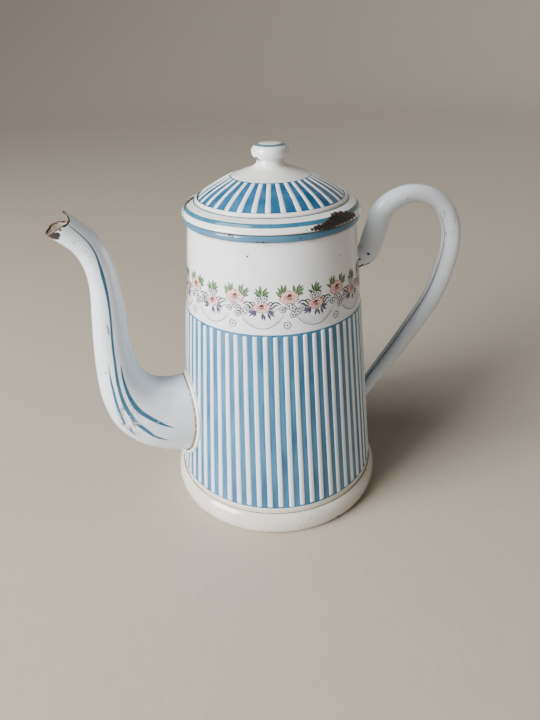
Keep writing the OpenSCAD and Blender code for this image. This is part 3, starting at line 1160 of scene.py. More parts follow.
@dataclass
class Spout:
    """The gooseneck spout with its painted lines, and the collar round its root.

    Attributes:
        side: The side that it grows out of.
        stations: Sections along it: distance from the pot's axis, height, half depth and half width.
        lip: The angles round the lip, and how far the broken edge reaches at each.
        sheet: The thickness of its sheet.
        root_z: The height of the middle of its root.
        root_h: Half of the root's height.
        root_w: Half of the root's width.
        collar_w: How far the collar reaches over the side.
        collar_h: How far the collar stands out.
        join: The station where the root's sweep ends.
        clear_of_side: The distance from the axis past which the inner enamel is told apart.
        worn_lip: The length of the lip's bare edge.
    """

    side: Side
    stations: tuple[Point, ...] = (
        (72, 67.0, 28.0, 21.8), (84, 70.9, 26.8, 20.8), (95.6, 79.8, 23.8, 18.8), (103.4, 92.0, 18.6, 16.0),
        (107.4, 106, 14.4, 13.6), (108.6, 125, 11.9, 11.5), (107.5, 148, 10.5, 10.2), (106.8, 168, 9.0, 9.0),
        (108.5, 184, 8.7, 8.6), (114.2, 197, 8.6, 8.4), (126.0, 208.5, 8.4, 8.2),
    )
    lip: tuple[tuple[float, float], ...] = (
        (0, 1.3), (14, 1.1), (26, -1.2), (38, -3.4), (52, -2.9), (70, -2.0), (90, -0.6), (120, 0.8),
        (150, 1.6), (180, 1.8), (210, 1.7), (235, 1.3), (252, 0.8), (272, -1.5), (290, -4.0), (306, -4.8),
        (326, -2.8), (344, 0.6), (360, 1.3),
    )
    sheet: float = 1.0
    root_z: float = 66.5
    root_h: float = 29.0
    root_w: float = 22.0
    collar_w: float = 2.9
    collar_h: float = 1.9
    join: float = 1.6
    clear_of_side: float = 76.0
    worn_lip: float = 0.62

    def surface(self, t: float, phi: float, lift: float = 0.0, reach: float = 0.0) -> Vector:
        """Gives a point of the spout.

        Args:
            t: The place along it, in stations; at -1 it meets the side's surface.
            phi: The angle round it, 0 above, 90 on the right and 180 below.
            lift: How far off its surface.
            reach: How far past t along it.

        Returns:
            The point.
        """
        if t < self.join:
            return self._swept_root(t, phi, lift)
        a = math.radians(phi)
        q, v = along(self.stations, t), heading(self.stations, t)
        up, out = (q[2] + lift) * math.cos(a), (q[3] + lift) * math.sin(a)
        return Vector((-(q[0] - up * v.y + reach * v.x), -out, q[1] + up * v.x + reach * v.y))

    def _swept_root(self, t: float, phi: float, lift: float) -> Vector:
        """Gives a point of the sweep that carries the side's surface into the spout."""
        share = (t + 1) / (self.join + 1)
        start, end = self._root(math.radians(phi), lift), self.surface(self.join, phi, lift)
        chord = (end - start).length
        leave = Vector((-1.0, 0.0, 0.12)) * chord
        arrive = (self.surface(self.join + 0.06, phi, lift) - end).normalized() * chord
        a, b = share ** 2 * (3 - 2 * share), share ** 2 * (share - 1)
        return start * (1 - a) + end * a + leave * share * (1 - share) ** 2 + arrive * b

    def _root(self, a: float, lift: float) -> Vector:
        """Gives the point where the spout meets the side at an angle round it."""
        y = -(self.root_w + lift) * math.sin(a)
        z = self.root_z + (self.root_h + lift) * math.cos(a)
        return Vector((-math.sqrt(self.side.radius(z) ** 2 - y * y), y, z))

    def build(self) -> None:
        """Builds the spout, its painted lines and its collar."""
        self._tube()
        self._lines()
        self._collar()

    def _reach(self, phi: float) -> float:
        """Gives how far the broken lip reaches past the spout's end at an angle."""
        ragged = 0.16 * math.sin(math.radians(phi * 11)) + 0.11 * math.sin(math.radians(phi * 23 + 40))
        return between(self.lip, phi % 360) + ragged

    def _tube(self) -> None:
        """Lays the spout's outer face, rolls it over the lip and lays its inner face."""
        last = float(len(self.stations) - 1)
        rows = [-1.0 + 0.2 * k for k in range(13)]
        rows += [self.join + (last - self.join) * k / 60 for k in range(60)] + [last - 0.05, last]
        turns = [math.pi * k / 4 for k in (1, 2, 3)]
        sections = [(t, 0.0, t) for t in rows]
        sections += [(last, -self.sheet / 2 * (1 - math.cos(a)), last + 0.5 * math.sin(a)) for a in turns]
        sections += [(t, -self.sheet, t) for t in reversed(rows)]
        cells = len(sections) - 1

        def place(u: float, v: float) -> Vector:
            """Gives a point of the spout, u round it and v along it."""
            phi = 360 * u
            t, lift, end = sections[round(v * cells)]
            share = max(0.0, (min(end, last) - (last - 1.1)) / 1.1) ** 2
            extra = max(0.0, end - last)
            return self.surface(t, phi, lift, self._reach(phi) * share + extra)

        shape = Shape()
        faces = shape.patch(72, cells, place, wrap=True)
        bmesh.ops.recalc_face_normals(shape.bm, faces=shape.bm.faces[:])
        self._dress_inside(faces)
        self._dress_lip(faces)
        chips = chips_at(
            (-128.6, -6.6, 203.9, 2.9), (-130.8, -5.0, 203.9, 2.8), (-132.2, -2.8, 204.4, 2.2),
            (-126.6, -7.2, 204.9, 1.6), (-119.9, -4.6, 213.2, 1.5), (-121.5, -1.0, 216.2, 1.6),
            (-121.0, -6.6, 211.2, 0.8), (-121.4, -7.4, 209.6, 0.8), (-124.6, -8.2, 207.4, 0.6),
            (-133.2, 1.0, 204.8, 1.4), (-131.0, 6.8, 206.6, 1.9), (-128.2, 8.0, 207.2, 1.7),
            (-132.6, -2.4, 204.6, 1.2), (-124.6, 8.2, 206.8, 1.0), (-114.0, -8.3, 193.5, 0.35),
            (-119.0, -8.0, 199.5, 0.4),
        )
        white = Enamel("spout_white", COOL_WHITE, tint(200, 209, 220), 0.5, 20.0, 1.6, freckles=0.3,
                       chips=chips, ragged=0.5, gloss=0.13)
        inside = Enamel("spout_inside", tint(222, 219, 212), tint(150, 128, 104), 0.8, 9.0, freckles=0.5,
                        gloss=0.2)
        worn = Enamel("spout_lip", tint(30, 23, 20), tint(120, 84, 40), 0.8, 3.0, freckles=0.3, gloss=0.45)
        looks = [white.build(self._rubbed), inside.build(), worn.build()]
        shape.finish("spout", Body.POT, "enamel_white", looks, ["spout_left_half", "spout_right_half"], 60)

    def _dress_inside(self, faces: list[bmesh.types.BMFace]) -> None:
        """Gives the spout's inner face its own enamel."""
        path = [along(self.stations, k / 8) for k in range(8 * (len(self.stations) - 1) + 1)]
        for f in faces:
            c = f.calc_center_median()
            q = min(path, key=lambda p: (p[0] + c.x) ** 2 + (p[1] - c.z) ** 2)
            towards = Vector((c.x + q[0], c.y, c.z - q[1]))
            if towards.length > 0.1 and f.normal.dot(towards) < 0 and -c.x > self.clear_of_side:
                f.material_index = 1

    def _dress_lip(self, faces: list[bmesh.types.BMFace]) -> None:
        """Gives the lip's worn edge its bare, rusty look."""
        q, v = self.stations[-1], heading(self.stations, len(self.stations) - 1)
        for f in faces:
            c = f.calc_center_median()
            ahead = (-c.x - q[0]) * v.x + (c.z - q[1]) * v.y
            up = (c.x + q[0]) * v.y + (c.z - q[1]) * v.x
            phi = math.degrees(math.atan2(-c.y, up))
            if ahead > self._reach(phi) - self.worn_lip:
                f.material_index = 2

    def _rubbed(self, g: Graph) -> tuple[Signal, Tint]:
        """Marks the brown scuffs down the near side of the spout and the grime round its root."""
        low = g.band(g.z, 140.5, 148.0, 2.0) * g.band(g.x, -110.3, -109.0, 0.4)
        spot = g.band(g.z, 114.0, 115.6, 0.5) * g.band(g.x, -116.4, -115.4, 0.4)
        near = 1 - g.rise(g.y, -2.0, 0.0)
        patches = g.rise(g.noise(1.8, 3.0, (1, 1, 4.0), 6.0), 0.44, 0.60)
        bend = g.band(g.z, 66.0, 92.0, 4.0) * g.band(g.x, -116.0, -101.0, 2.0)
        bend = bend * (1 - g.rise(g.y, -13.0, -11.0))
        rubbed = (low * 0.8 + spot * 0.9 + bend * patches * 0.8) * near
        off_side = g.radius() + g.z * self.side.taper - self.side.foot_r
        root = 1 - g.rise(off_side, 2.1, 3.3)
        grime = root * g.rise(g.noise(4.0, 3.0, shift=2.0), 0.30, 0.52) * 0.85
        return rubbed.upper(grime), tint(132, 108, 86)

    def _lines(self) -> None:
        """Paints the blue lines that follow the spout on both sides."""
        lines = (
            ((9.75, 56, 0.3), (9.2, 66, 0.6), (8.6, 74, 0.8), (8.2, 81, 1.1), (7.7, 87, 1.85), (7.2, 88, 1.7),
             (6.3, 88, 1.2), (5.6, 91, 1.3), (4.9, 93, 1.5), (4.2, 98, 1.9), (3.5, 102, 2.2), (2.9, 105, 2.6),
             (2.3, 107, 2.7), (1.7, 108, 2.5), (1.1, 112, 2.0), (0.35, 113, 0.2)),
            ((4.75, 78, 0.2), (4.4, 81, 1.0), (3.9, 84, 1.7), (3.2, 87, 2.4), (2.6, 88, 2.7), (2.0, 86, 2.5),
             (1.4, 86, 2.1), (0.4, 89, 0.2)),
            ((4.8, 113, 0.2), (4.2, 115, 1.2), (3.8, 116, 1.6), (3.2, 120, 2.0), (2.6, 126, 2.1),
             (2.1, 129, 1.7), (1.6, 133, 0.2)),
        )
        shape = Shape()
        for side in (1, -1):
            for line in lines:
                self._paint_line(shape, line, side)

        def worn(g: Graph) -> tuple[Signal, Tint]:
            """Lets white show where the paint is rubbed, mostly low on the spout."""
            low = 1 - g.rise(g.z, 72.0, 92.0)
            patches = g.rise(g.noise(1.5, 3.0, (1, 1, 1.8), 3.0), 0.52, 0.60)
            edge = g.rise(g.noise(2.6, 2.0, shift=9.0), 0.62, 0.70) * 0.6
            return (patches * low * g.rise(0 - g.x, 96.0, 103.0)).upper(edge * low), tint(196, 206, 214)

        paint = Enamel("spout_lines", LINE_BLUE, tint(60, 104, 138), 0.7, 7.0, gloss=0.2, freckles=0.2)
        shape.finish("spout_lines", Body.POT, "enamel_blue", [paint.build(worn)], sharp=80)

    def _paint_line(self, shape: Shape, line: Sequence[Point], side: int) -> None:
        """Paints one line.

        Args:
            shape: The mesh that takes it.
            line: Its (place along, angle round, width) points.
            side: 1 for the right side of the spout and -1 for the left.
        """
        def place(u: float, v: float) -> Vector:
            """Gives a point of the line, u across it and v along it."""
            t, phi, width = along(line, v * (len(line) - 1))
            q = along(self.stations, max(t, 0.0))
            half = math.degrees(max(width, 0.1) / 2 / (0.5 * (q[2] + q[3])))
            return self.surface(t, side * (phi + (2 * u - 1) * half), 0.07)

        def outward(p: Vector) -> Vector:
            """Gives the way out of the spout's side."""
            return Vector((0, -side, 0))

        shape.patch(3, 6 * len(line), place, outward=outward)

    def _collar(self) -> None:
        """Lays the raised collar round the root."""
        section = [(0.0, -0.2), (-0.05, 0.9), (0.25, 1.7), (1.0, self.collar_h), (2.0, self.collar_h - 0.1),
                   (self.collar_w, 1.5), (self.collar_w, 0.6), (self.collar_w + 0.15, -0.2)]
        loop = smooth_path(section, 3)

        def place(u: float, v: float) -> Vector:
            """Gives a point of the collar, u over it and v round it."""
            q = loop[min(round(u * (len(loop) - 1)), len(loop) - 1)]
            a = math.tau * v
            thick = 1 + 0.18 * math.sin(a + 0.6)
            y = (self.root_w + 0.3 + q[0] * thick) * math.cos(a)
            z = self.root_z + (self.root_h + 0.3 + q[0] * thick) * math.sin(a)
            return Vector((-math.sqrt(self.side.radius(z) ** 2 - y * y) - q[1], y, z))

        shape = Shape()
        shape.patch(len(loop) - 1, 120, place, wrap=True, outward=lambda p: Vector((-1, 0, 0)))
        chips = chips_at(
            (-67.5, -19.6, 52.5, 1.2), (-67.8, -18.0, 48.4, 1.1), (-67.6, -20.8, 56.5, 1.0),
            (-67.5, -21.6, 61.0, 0.8), (-68.6, 14.0, 92.0, 1.0), (-69.0, 17.0, 46.0, 1.2),
        )
        enamel = Enamel("collar_cream", tint(232, 230, 224), tint(212, 207, 196), 0.6, 8.0, freckles=0.3,
                        chips=chips, ragged=0.5, gloss=0.15, peel=0.08)

        def grime(g: Graph) -> tuple[Signal, Tint]:
            """Marks dirt and painted shade in the gap where the collar meets the spout."""
            a, b = g.y / self.root_w, (g.z - self.root_z) / self.root_h
            # Painted shade mixed with dirt: a broken dark brown band on the collar's inner edge, beside the
            # spout.
            gap = 1 - g.rise(a * a + b * b, 1.045, 1.085)
            return gap * g.rise(g.noise(6.0, 3.0, shift=4.0), 0.25, 0.5) * 0.9, tint(86, 70, 54)

        shape.finish("collar", Body.POT, "enamel_cream", [enamel.build(grime)], ["spout_collar"], 70)


# ---------------------------------------------------------------- the handle


@dataclass
class Handle:
    """The handle rolled from one sheet, with its open seam inside the loop.

    Attributes:
        side: The side that it is welded to.
        line: Points along it: distance from the pot's axis, height, how open it is from 0 to 1, and
            how thick it is as a share of its radius.
        radius: Its plain radius.
        sheet: The thickness of its sheet.
        slit: Half of the seam's opening, in degrees.
        open_slit: Half of the opening of the spread end, in degrees.
        roll_in: How far the seam's edges turn in.
        open_until: The point of the line where the bare edges end.
        worn_edge: How wide the bare edges are, in degrees.
        cells_round: How many cells go round the sheet and back.
        cells_along: How many cells go along it.
    """

    side: Side
    line: tuple[Point, ...] = (
        (60.5, 163.2, 1.0, 1.13), (69.0, 166.8, 0.6, 1.17), (72.8, 177.5, 0.2, 1.17), (79.4, 195.4, 0, 1.10),
        (97.5, 203.4, 0, 0.92), (119.2, 197.6, 0, 0.90), (132.8, 180.5, 0, 0.97), (135.3, 158.0, 0, 1.03),
        (126.8, 127.0, 0, 1.04), (107.8, 97.5, 0, 1.00), (87.0, 70.5, 0, 0.90), (73.5, 53.5, 0, 0.83),
    )
    radius: float = 6.75
    sheet: float = 1.0
    slit: float = 3.4
    open_slit: float = 60.0
    roll_in: float = 1.3
    open_until: float = 2.4
    worn_edge: float = 12.0
    cells_round: int = 64
    cells_along: int = 84

    def surface(self, t: float, u: float) -> Vector:
        """Gives a point of the rolled sheet.

        Args:
            t: The place along the handle, in points of its line.
            u: The place round the sheet: outer face up to 0.5, then back along the inner face.

        Returns:
            The point.
        """
        q, v = along(self.line, t), heading(self.line, t)
        half = self._opening(t)
        share = u / 0.5 if u <= 0.5 else (1 - u) / 0.5
        a = half + (360 - 2 * half) * share
        edge = min(a - half, 360 - half - a)
        tight = 1 - min(max(q[2], 0.0), 1.0)
        turned_in = self.roll_in * tight * math.exp(-((edge / 13) ** 2))
        r = self.radius * q[3] - turned_in - (self.sheet if u > 0.5 else 0.0)
        inward = r * math.cos(math.radians(a))
        return Vector((q[0] + inward * v.y, -r * math.sin(math.radians(a)), q[1] - inward * v.x))

    def _opening(self, t: float) -> float:
        """Gives half the angle that the sheet leaves open at a place along the handle."""
        seam = self.slit - 1.0 + 1.6 * min(max(t - 6.5, 0.0), 1.0) + 2.6 * min(max((t - 9.0) / 2, 0.0), 1.0)
        return seam + (self.open_slit - seam) * min(max(along(self.line, t)[2], 0.0), 1.0)

    def _on_side(self, p: Vector, t: float) -> Vector:
        """Slides a point along the handle's end until it meets the pot's side."""
        v = heading(self.line, t)
        way = Vector((v.x, 0, v.y))
        low, high = -25.0, 25.0
        toward = 1.0 if (p + way * high).x < (p + way * low).x else -1.0
        for _ in range(30):
            mid = (low + high) / 2
            q = p + way * mid * toward
            inside = math.hypot(q.x, q.y) < self.side.radius(q.z) - 0.3
            low, high = (low, mid) if inside else (mid, high)
        return p + way * low * toward

    def build(self) -> None:
        """Rolls the handle and dresses it."""
        last = len(self.line) - 1

        def place(u: float, v: float) -> Vector:
            """Gives a point of the handle, u round the sheet and v along it."""
            t = v * last
            p = self.surface(t, u)
            return self._on_side(p, t) if v < 1e-6 or v > 1 - 1e-6 else p

        shape = Shape()
        faces = shape.patch(self.cells_round, self.cells_along, place, wrap=True)
        bmesh.ops.recalc_face_normals(shape.bm, faces=shape.bm.faces[:])
        self._dress_inside(faces)
        chips = chips_at(
            (66.0, -7.4, 168.0, 0.9), (64.9, -7.2, 169.0, 0.7), (59.6, -7.4, 165.1, 0.7),
            (63.0, 7.0, 161.4, 1.2), (68.6, 6.4, 161.4, 1.0), (81.4, -6.7, 192.4, 0.4),
            (93.0, -6.4, 202.0, 0.5), (93.6, -4.1, 197.7, 0.5), (117.1, -2.2, 191.8, 1.0),
            (123.8, -1.0, 183.2, 1.1), (128.7, -1.8, 164.1, 1.0), (86.6, -5.0, 190.6, 0.6),
            (109.6, 5.2, 93.2, 0.9),
        ) + chip_run(((123.0, -5.4, 190.2, 0.35), (124.8, -4.8, 185.0, 0.4), (127.4, -4.6, 178.0, 0.3)), 2.6)
        white = Enamel("handle_white", COOL_WHITE, tint(198, 206, 216), 0.5, 22.0, freckles=0.35, chips=chips,
                       ragged=0.35, gloss=0.13)
        dark = Enamel("handle_inside", tint(96, 96, 98), IRON, 0.9, 10.0, gloss=0.35, freckles=0.8)
        bare = Enamel("handle_edge", IRON, tint(70, 48, 34), 0.7, 3.0, freckles=0.0, gloss=0.5)
        looks = [white.build(self._scuffs), dark.build(), bare.build()]
        shape.finish("handle", Body.POT, "enamel_white", looks, ["handle_tube"], 60)

    def _dress_inside(self, faces: list[bmesh.types.BMFace]) -> None:
        """Gives the tube's inner face and the worn free edges of its open end their own looks."""
        last = len(self.line) - 1
        path = [(along(self.line, last * k / 120), last * k / 120) for k in range(121)]
        for f in faces:
            c = f.calc_center_median()
            q, t = min(path, key=lambda p: (p[0][0] - c.x) ** 2 + (p[0][1] - c.z) ** 2)
            v = heading(self.line, t)
            inward = (c.x - q[0]) * v.y - (c.z - q[1]) * v.x
            off_seam = math.degrees(math.atan2(abs(c.y), inward)) - self._opening(t)
            if t < self.open_until and off_seam < self.worn_edge:
                f.material_index = 2
            elif f.normal.dot(Vector((c.x - q[0], c.y, c.z - q[1]))) < 0 and q[2] < 0.2:
                f.material_index = 1

    @staticmethod
    def _scuffs(g: Graph) -> tuple[Signal, Tint]:
        """Marks the grey rub and rust streaks inside the bend."""
        bend = g.band(g.x, 124.0, 132.5, 2.0) * g.band(g.z, 166.0, 192.0, 5.0)
        bend = bend * (1 - g.rise(g.y, -3.0, -0.5))
        fine = g.rise(g.noise(1.6, 4.0, (1, 1, 3.0), 2.0), 0.56, 0.64)
        return bend * fine * 0.7, tint(150, 120, 104)


# ---------------------------------------------------------------- the lid


@dataclass
class Lid:
    """The domed lid with its raised rays, its flange and its knob.

    Attributes:
        disc_r: The radius of the white disc round the knob.
        ground_r: The outer radius of the blue ground.
        rays: How many rays go round.
        ray_first: The angle of the first ray, in degrees.
        ray_in: The radius of the rays' inner ends.
        ray_out: The radius of their outer ends.
        ray_height: How far a ray stands out.
        ray_half: Half of a ray's width at its inner end.
        ray_spread: How much that grows for each millimetre outward.
        dome: The dome's (radius, height) profile from the knob's seat to the ring.
        ring: The profile of the small raised ring.
        rim: The profile from the ring to the rolled edge.
    """

    disc_r: float = 24.0
    ground_r: float = 45.1
    rays: int = 33
    ray_first: float = -88.8
    ray_in: float = 24.5
    ray_out: float = 44.7
    ray_height: float = 0.42
    ray_half: float = 1.22
    ray_spread: float = 0.018
    dome: tuple[Point, ...] = (
        (8.2, 233.2), (8.5, 231.8), (9.5, 230.5), (11.8, 229.2), (17.0, 227.4), (24.1, 224.7), (30, 221.9),
        (36, 218.8), (41, 215.7), (45.1, 212.6),
    )
    ring: tuple[Point, ...] = ((45.3, 213.0), (45.7, 213.3), (46.3, 212.9), (46.9, 212.0), (47.1, 211.4))
    rim: tuple[Point, ...] = (
        (47.3, 211.3), (49.6, 210.5), (52.0, 209.5), (53.2, 208.4), (54.1, 207.1), (54.9, 205.9),
        (55.35, 204.9), (55.2, 204.3), (54.5, 203.95),
    )

    def build(self) -> None:
        """Builds the dome, the rays, the flange and the knob."""
        self._dome()
        self._rays()
        self._flange()
        self._knob()

    def height(self, r: float) -> float:
        """Gives the height of the dome at a radius."""
        return between(self._curve(), r)

    def _curve(self) -> list[tuple[float, float]]:
        """Gives the dome's fine profile from the disc outward."""
        return [p for p in smooth_path(self.dome, 4) if p[0] > 10]

    def _dome(self) -> None:
        """Turns the dome."""
        outer = smooth_path(self.dome, 4) + list(self.ring) + smooth_path(self.rim, 3)
        under = [(53.4, 203.95), (53.6, 205.2), (53.0, 206.8), (51.6, 208.4), (47.2, 210.1), (45, 211.4),
                 (41, 214.4), (36, 217.6), (30, 220.7), (24, 223.5), (16, 226.4), (9, 228.2), (0.0, 228.4)]
        close = [(0.0, 233.2)]
        white, blue, line, thin_line, inside = range(5)

        def slot(p: Vector) -> int:
            """Gives the enamel for a part of the dome."""
            r, z = p.x, p.y
            if z < self.height(min(r, 45.0)) - 0.6 and r < 47:
                return inside
            if r < self.disc_r:
                return white
            if r < self.ground_r:
                return blue
            if 47.0 < r < 48.1 or 45.15 < r < 45.4:
                return thin_line
            if 52.1 < r < 53.95 and z > 207.0:
                return line
            return white

        shape = Shape()
        shape.turned(outer + under + close, 180, closed=True, slot_of=slot)
        chips = self._chips()
        looks = (
            Enamel("lid_white", tint(228, 228, 226), tint(206, 204, 200), 0.5, 14.0, freckles=0.3,
                   chips=chips, ragged=0.42, gloss=0.12),
            Enamel("lid_blue", DEEP_BLUE, tint(58, 112, 150), 0.85, 8.0, freckles=0.25,
                   chips=chips, ragged=0.42, gloss=0.13),
            Enamel("lid_line", tint(56, 110, 134), tint(36, 88, 110), 0.8, 8.0, freckles=0.4,
                   chips=chips, ragged=0.42, gloss=0.14),
            Enamel("lid_thin_line", tint(44, 92, 112), tint(84, 124, 140), 0.8, 12.0, freckles=0.0),
            inside_enamel(),
        )
        shape.finish("lid", Body.LID, "enamel_blue", [look.build() for look in looks], ["lid_dome"], 60)

    @staticmethod
    def _chips() -> tuple[Chip, ...]:
        """Gives the lid's chips: the long one on the rim and the small ones about it."""
        return chips_round(
            (55.0, -85.0, 205.6, 0.9), (54.9, -82.5, 205.9, 1.5), (54.9, -80.0, 205.9, 1.9),
            (54.8, -76.5, 206.0, 2.3), (54.5, -73.2, 206.4, 2.8), (54.2, -69.8, 207.0, 3.4),
            (53.7, -66.0, 207.7, 3.8), (53.6, -62.3, 207.9, 3.9), (53.8, -58.6, 207.6, 3.5),
            (54.0, -55.0, 207.2, 3.0), (54.3, -51.0, 206.8, 2.4), (54.6, -47.5, 206.4, 1.6),
            (50.9, -66.5, 210.1, 1.3), (51.2, -63.0, 209.9, 1.8), (51.8, -58.5, 209.6, 1.6),
            (52.6, -54.0, 209.0, 1.5), (49.0, 156.5, 210.7, 2.4), (49.9, 161.5, 210.4, 2.6),
            (51.2, 166.5, 209.9, 2.1), (52.6, 170.5, 208.9, 1.6), (53.8, 173.5, 207.3, 1.3),
            (54.9, 177.0, 205.9, 0.9), (55.2, 181.0, 205.0, 0.7), (55.2, 185.0, 204.9, 0.6),
            (26.1, -57.0, 223.7, 0.5), (14.4, -61.5, 228.3, 0.35), (54.4, 40.0, 206.6, 1.6),
            (54.4, 98.0, 206.8, 1.2), (47.0, 62.0, 212.4, 0.7), (54.9, -88.5, 206.0, 0.4),
        )

    def _rays(self) -> None:
        """Lays the raised rays on the dome, wider towards its rim."""
        rng = random.Random(23)
        pitch = 360 / self.rays
        shape = Shape()
        for k in range(self.rays):
            centre = self.ray_first + k * pitch + rng.uniform(-0.7, 0.7)
            lean = rng.uniform(-0.5, 0.5)
            wide = rng.uniform(0.94, 1.06)
            start, stop = self.ray_in + rng.uniform(-0.1, 0.3), self.ray_out + rng.uniform(-0.5, 0.2)

            def place(u: float, v: float) -> Vector:
                """Gives a point of the ray, u across it and v outward."""
                s = 2 * u - 1
                r = start + (stop - start) * v
                near = min(max(min(stop - r, r - start), 0.0) / 0.9, 1.0)
                tip = math.sqrt(max(1 - (1 - near) ** 2, 0.0))
                half = wide * (self.ray_half + (r - self.ray_in) * self.ray_spread) * (0.75 + 0.25 * tip)
                rise = self.ray_height * max(1 - s * s, 0.0) ** 0.4 * tip
                angle = centre + lean * (v - 0.5) + math.degrees(half * s / r)
                return polar(r, angle, self.height(r) + rise - 0.06)

            shape.patch(6, 24, tight_ends(place), outward=lambda p: Vector((0, 0, 1)))
        enamel = Enamel("ray_white", tint(226, 229, 230), tint(190, 206, 218), 0.55, 10.0, gloss=0.12,
                        freckles=0.15)
        shape.finish("lid_rays", Body.LID, "enamel_white", [enamel.build()], sharp=80)

    def _flange(self) -> None:
        """Turns the flange that drops into the pot's mouth."""
        profile = [(50.2, 209.0), (50.2, 204.0), (50.2, 199.0), (50.2, 194.6), (49.9, 193.8), (49.2, 193.35),
                   (48.5, 193.5), (48.7, 194.4), (49.2, 195.2), (49.2, 200.0), (49.2, 209.0)]
        shape = Shape()
        shape.turned(profile, 150, closed=True)
        chips = chips_round((50.0, -70, 194.0, 1.6), (50.0, 40, 194.0, 2.0), (50.0, 160, 194.0, 1.4))
        enamel = Enamel("flange_white", tint(210, 208, 202), tint(170, 156, 136), 0.7, 12.0, freckles=0.4,
                        gloss=0.2, chips=chips)
        shape.finish("flange", Body.LID, "enamel_white", [enamel.build()], ["lid_flange"], 50)

    def _knob(self) -> None:
        """Turns the knob, with the blue ring on its crown."""
        profile = smooth_path([
            (8.1, 231.5), (8.2, 233.0), (8.5, 233.8), (9.6, 234.7), (10.7, 235.9), (11.15, 237.4),
            (11.15, 238.9), (10.7, 240.2), (9.9, 241.1), (9.0, 241.75), (8.0, 242.15), (6.8, 242.45),
            (4.0, 242.85), (0.0, 242.98),
        ], 3)
        body, ring = range(2)

        def slot(p: Vector) -> int:
            """Gives the enamel for a part of the knob."""
            return ring if 6.5 < p.x < 9.2 and p.y > 240.5 else body

        shape = Shape()
        shape.turned(profile + [(0.0, 231.5)], 96, closed=True, slot_of=slot)
        chips = chips_at(
            (-8.6, -3.4, 234.4, 1.3), (-9.6, -3.6, 235.3, 1.0), (-9.0, -1.6, 234.5, 1.1),
            (-8.3, -2.6, 233.4, 0.5), (-0.8, 8.9, 241.9, 0.6), (2.4, 8.7, 241.9, 0.7),
            (5.2, 7.4, 241.9, 0.8), (7.4, 5.2, 241.9, 0.8), (8.8, 2.0, 241.9, 0.8),
            (9.0, -1.0, 241.8, 0.7), (8.6, -3.4, 241.7, 0.6), (7.3, -7.3, 240.5, 0.35),
            (1.8, -10.6, 239.4, 0.3),
        )
        white = Enamel("knob_white", tint(224, 227, 230), tint(200, 206, 212), 0.5, 8.0, freckles=0.3,
                       chips=chips, ragged=0.3, gloss=0.11)
        blue = Enamel("knob_ring", tint(68, 104, 120), tint(112, 140, 152), 0.8, 3.5, chips=chips, ragged=0.3)
        shape.finish("knob", Body.LID, "enamel_white", [white.build(), blue.build()],
                     ["knob_cup", "knob_cap"], 60)


# ---------------------------------------------------------------- hidden steel and the stage


def dress_steel(frame: dict) -> None:
    """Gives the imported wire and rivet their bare, slightly rusty steel.
    """
    g = Graph("plain_steel")
    spots = g.rise(g.noise(1.4, 4.0), 0.52, 0.66)
    steel = g.surface({
        "Base Color": g.blend(spots * 0.7, tint(120, 118, 114), RUST), "Metallic": 1 - spots * 0.8,
        "Roughness": 0.34 + spots * 0.35, "Normal": g.bump(spots, 0.05),
    })
    for name in ("rim_wire", "knob_rivet"):
        for slot in frame["nodes"][name].material_slots:
            slot.material = steel
        LOG.info("%s: dressed in plain steel", name)


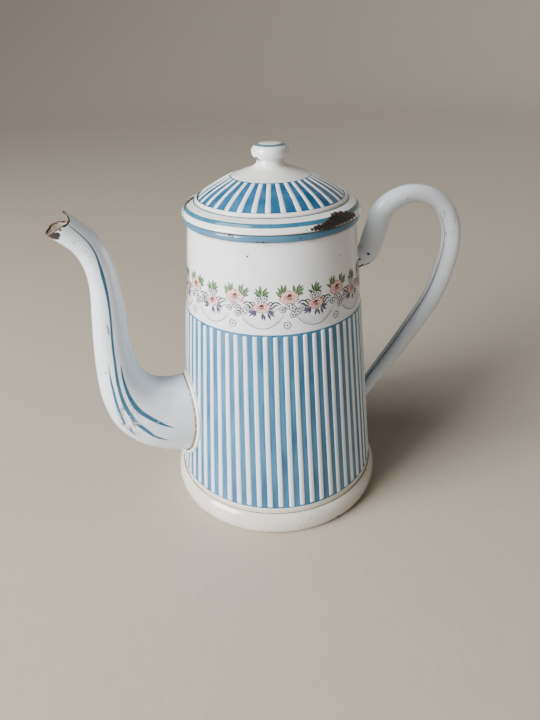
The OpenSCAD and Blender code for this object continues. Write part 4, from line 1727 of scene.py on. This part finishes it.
@dataclass
class Studio:
    """The pale floor, the soft lights and the camera, with places in metres.

    Attributes:
        eye: Where the camera is.
        look: The way that it looks.
        roll: How far it is tipped about that way, in degrees.
        lens: Its focal length in millimetres.
        flat_r: How far out the floor stays flat.
        floor_half: Half of the floor's side.
        floor_cells: How many cells the floor has each way.
        floor_curve: How fast the floor curves up past the flat part.
    """

    eye: Point = (-0.1105, -0.3304, 0.2974)
    look: Point = (0.2668, 0.8224, -0.5023)
    roll: float = -1.45
    lens: float = 28.0
    flat_r: float = 2.3
    floor_half: float = 6.0
    floor_cells: int = 64
    floor_curve: float = 0.3

    def build(self) -> None:
        """Sets up the stage."""
        self._floor()
        self._lamp("window", (-1.36, -0.36, 0.60), 0.80, 62.0, (1.0, 0.99, 0.98))
        self._sky((-1.10, -0.12, 1.30), 2.6, 40.0)
        self._lamp("front_fill", (-0.45, -1.35, 0.80), 0.9, 2.5, (0.98, 0.99, 1.0))
        world = bpy.data.worlds.new("studio")
        bpy.context.scene.world = world
        world.use_nodes = True
        back = world.node_tree.nodes["Background"]
        back.inputs["Color"].default_value = (0.86, 0.83, 0.79, 1.0)
        back.inputs["Strength"].default_value = 0.06
        self._camera()

    def _floor(self) -> None:
        """Lays the floor, which curves up far from the pot into a plain backdrop."""
        shape = bmesh.new()
        cells = self.floor_cells
        bmesh.ops.create_grid(shape, x_segments=cells, y_segments=cells, size=self.floor_half)
        for v in shape.verts:
            v.co.z = self.floor_curve * max(v.co.xy.length - self.flat_r, 0.0) ** 2
        mesh = bpy.data.meshes.new("floor")
        shape.to_mesh(mesh)
        shape.free()
        mesh.polygons.foreach_set("use_smooth", [True] * len(mesh.polygons))
        g = Graph("floor_pale")
        grain = g.noise(3.0, 3.0, (1, 6.0, 1))
        colour = g.blend(grain, tint(176, 167, 152), tint(166, 157, 142))
        mesh.materials.append(g.surface({"Base Color": colour, "Roughness": 0.5}))
        floor = bpy.data.objects.new("floor", mesh)
        bpy.context.scene.collection.objects.link(floor)

    @staticmethod
    def _lamp(name: str, place: Point, size: float, watts: float, colour: Tint) -> None:
        """Hangs a soft square lamp that looks at the pot.

        Args:
            name: The lamp's name.
            place: Where it hangs.
            size: The length of its side in metres.
            watts: Its power.
            colour: Its colour.
        """
        light = bpy.data.lights.new(name, "AREA")
        light.size, light.energy, light.color = size, watts, colour
        Studio._hang(light, place)

    @staticmethod
    def _sky(place: Point, strength: float, spread: float) -> None:
        """Adds an even, soft light from far overhead, which reaches the whole floor.

        Args:
            place: The way that it comes from.
            strength: Its strength in watts for each square metre.
            spread: How wide it is, in degrees.
        """
        light = bpy.data.lights.new("sky", "SUN")
        light.energy, light.angle, light.color = strength, math.radians(spread), (0.97, 0.985, 1.0)
        Studio._hang(light, place)

    @staticmethod
    def _hang(light: bpy.types.Light, place: Point) -> None:
        """Hangs a light at a place and turns it to the pot's middle."""
        lamp = bpy.data.objects.new(light.name, light)
        lamp.location = place
        lamp.rotation_euler = (Vector(POT_MIDDLE) - Vector(place)).to_track_quat("-Z", "Y").to_euler()
        bpy.context.scene.collection.objects.link(lamp)

    def _camera(self) -> None:
        """Sets up the camera."""
        look = Vector(self.look).normalized()
        right = look.cross(Vector((0, 0, 1))).normalized()
        up = right.cross(look)
        a = math.radians(self.roll)
        right, up = right * math.cos(a) + up * math.sin(a), up * math.cos(a) - right * math.sin(a)
        data = bpy.data.cameras.new("camera")
        data.lens, data.sensor_width, data.clip_start = self.lens, 36.0, 0.01
        camera = bpy.data.objects.new("camera", data)
        turn = Matrix((right, up, -look)).transposed().to_4x4()
        camera.matrix_world = Matrix.Translation(self.eye) @ turn
        bpy.context.scene.collection.objects.link(camera)
        bpy.context.scene.camera = camera


def main() -> None:
    """Builds the pot's pieces, the stage and the camera."""
    logging.basicConfig(level=logging.INFO, format="%(name)s: %(message)s")
    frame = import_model()
    Studio().build()
    side = Side()
    side.build()
    FlowerBand(side).build()
    Foot(side).build()
    Spout(side).build()
    Handle(side).build()
    Lid().build()
    dress_steel(frame)


if __name__ == "__main__":
    main()
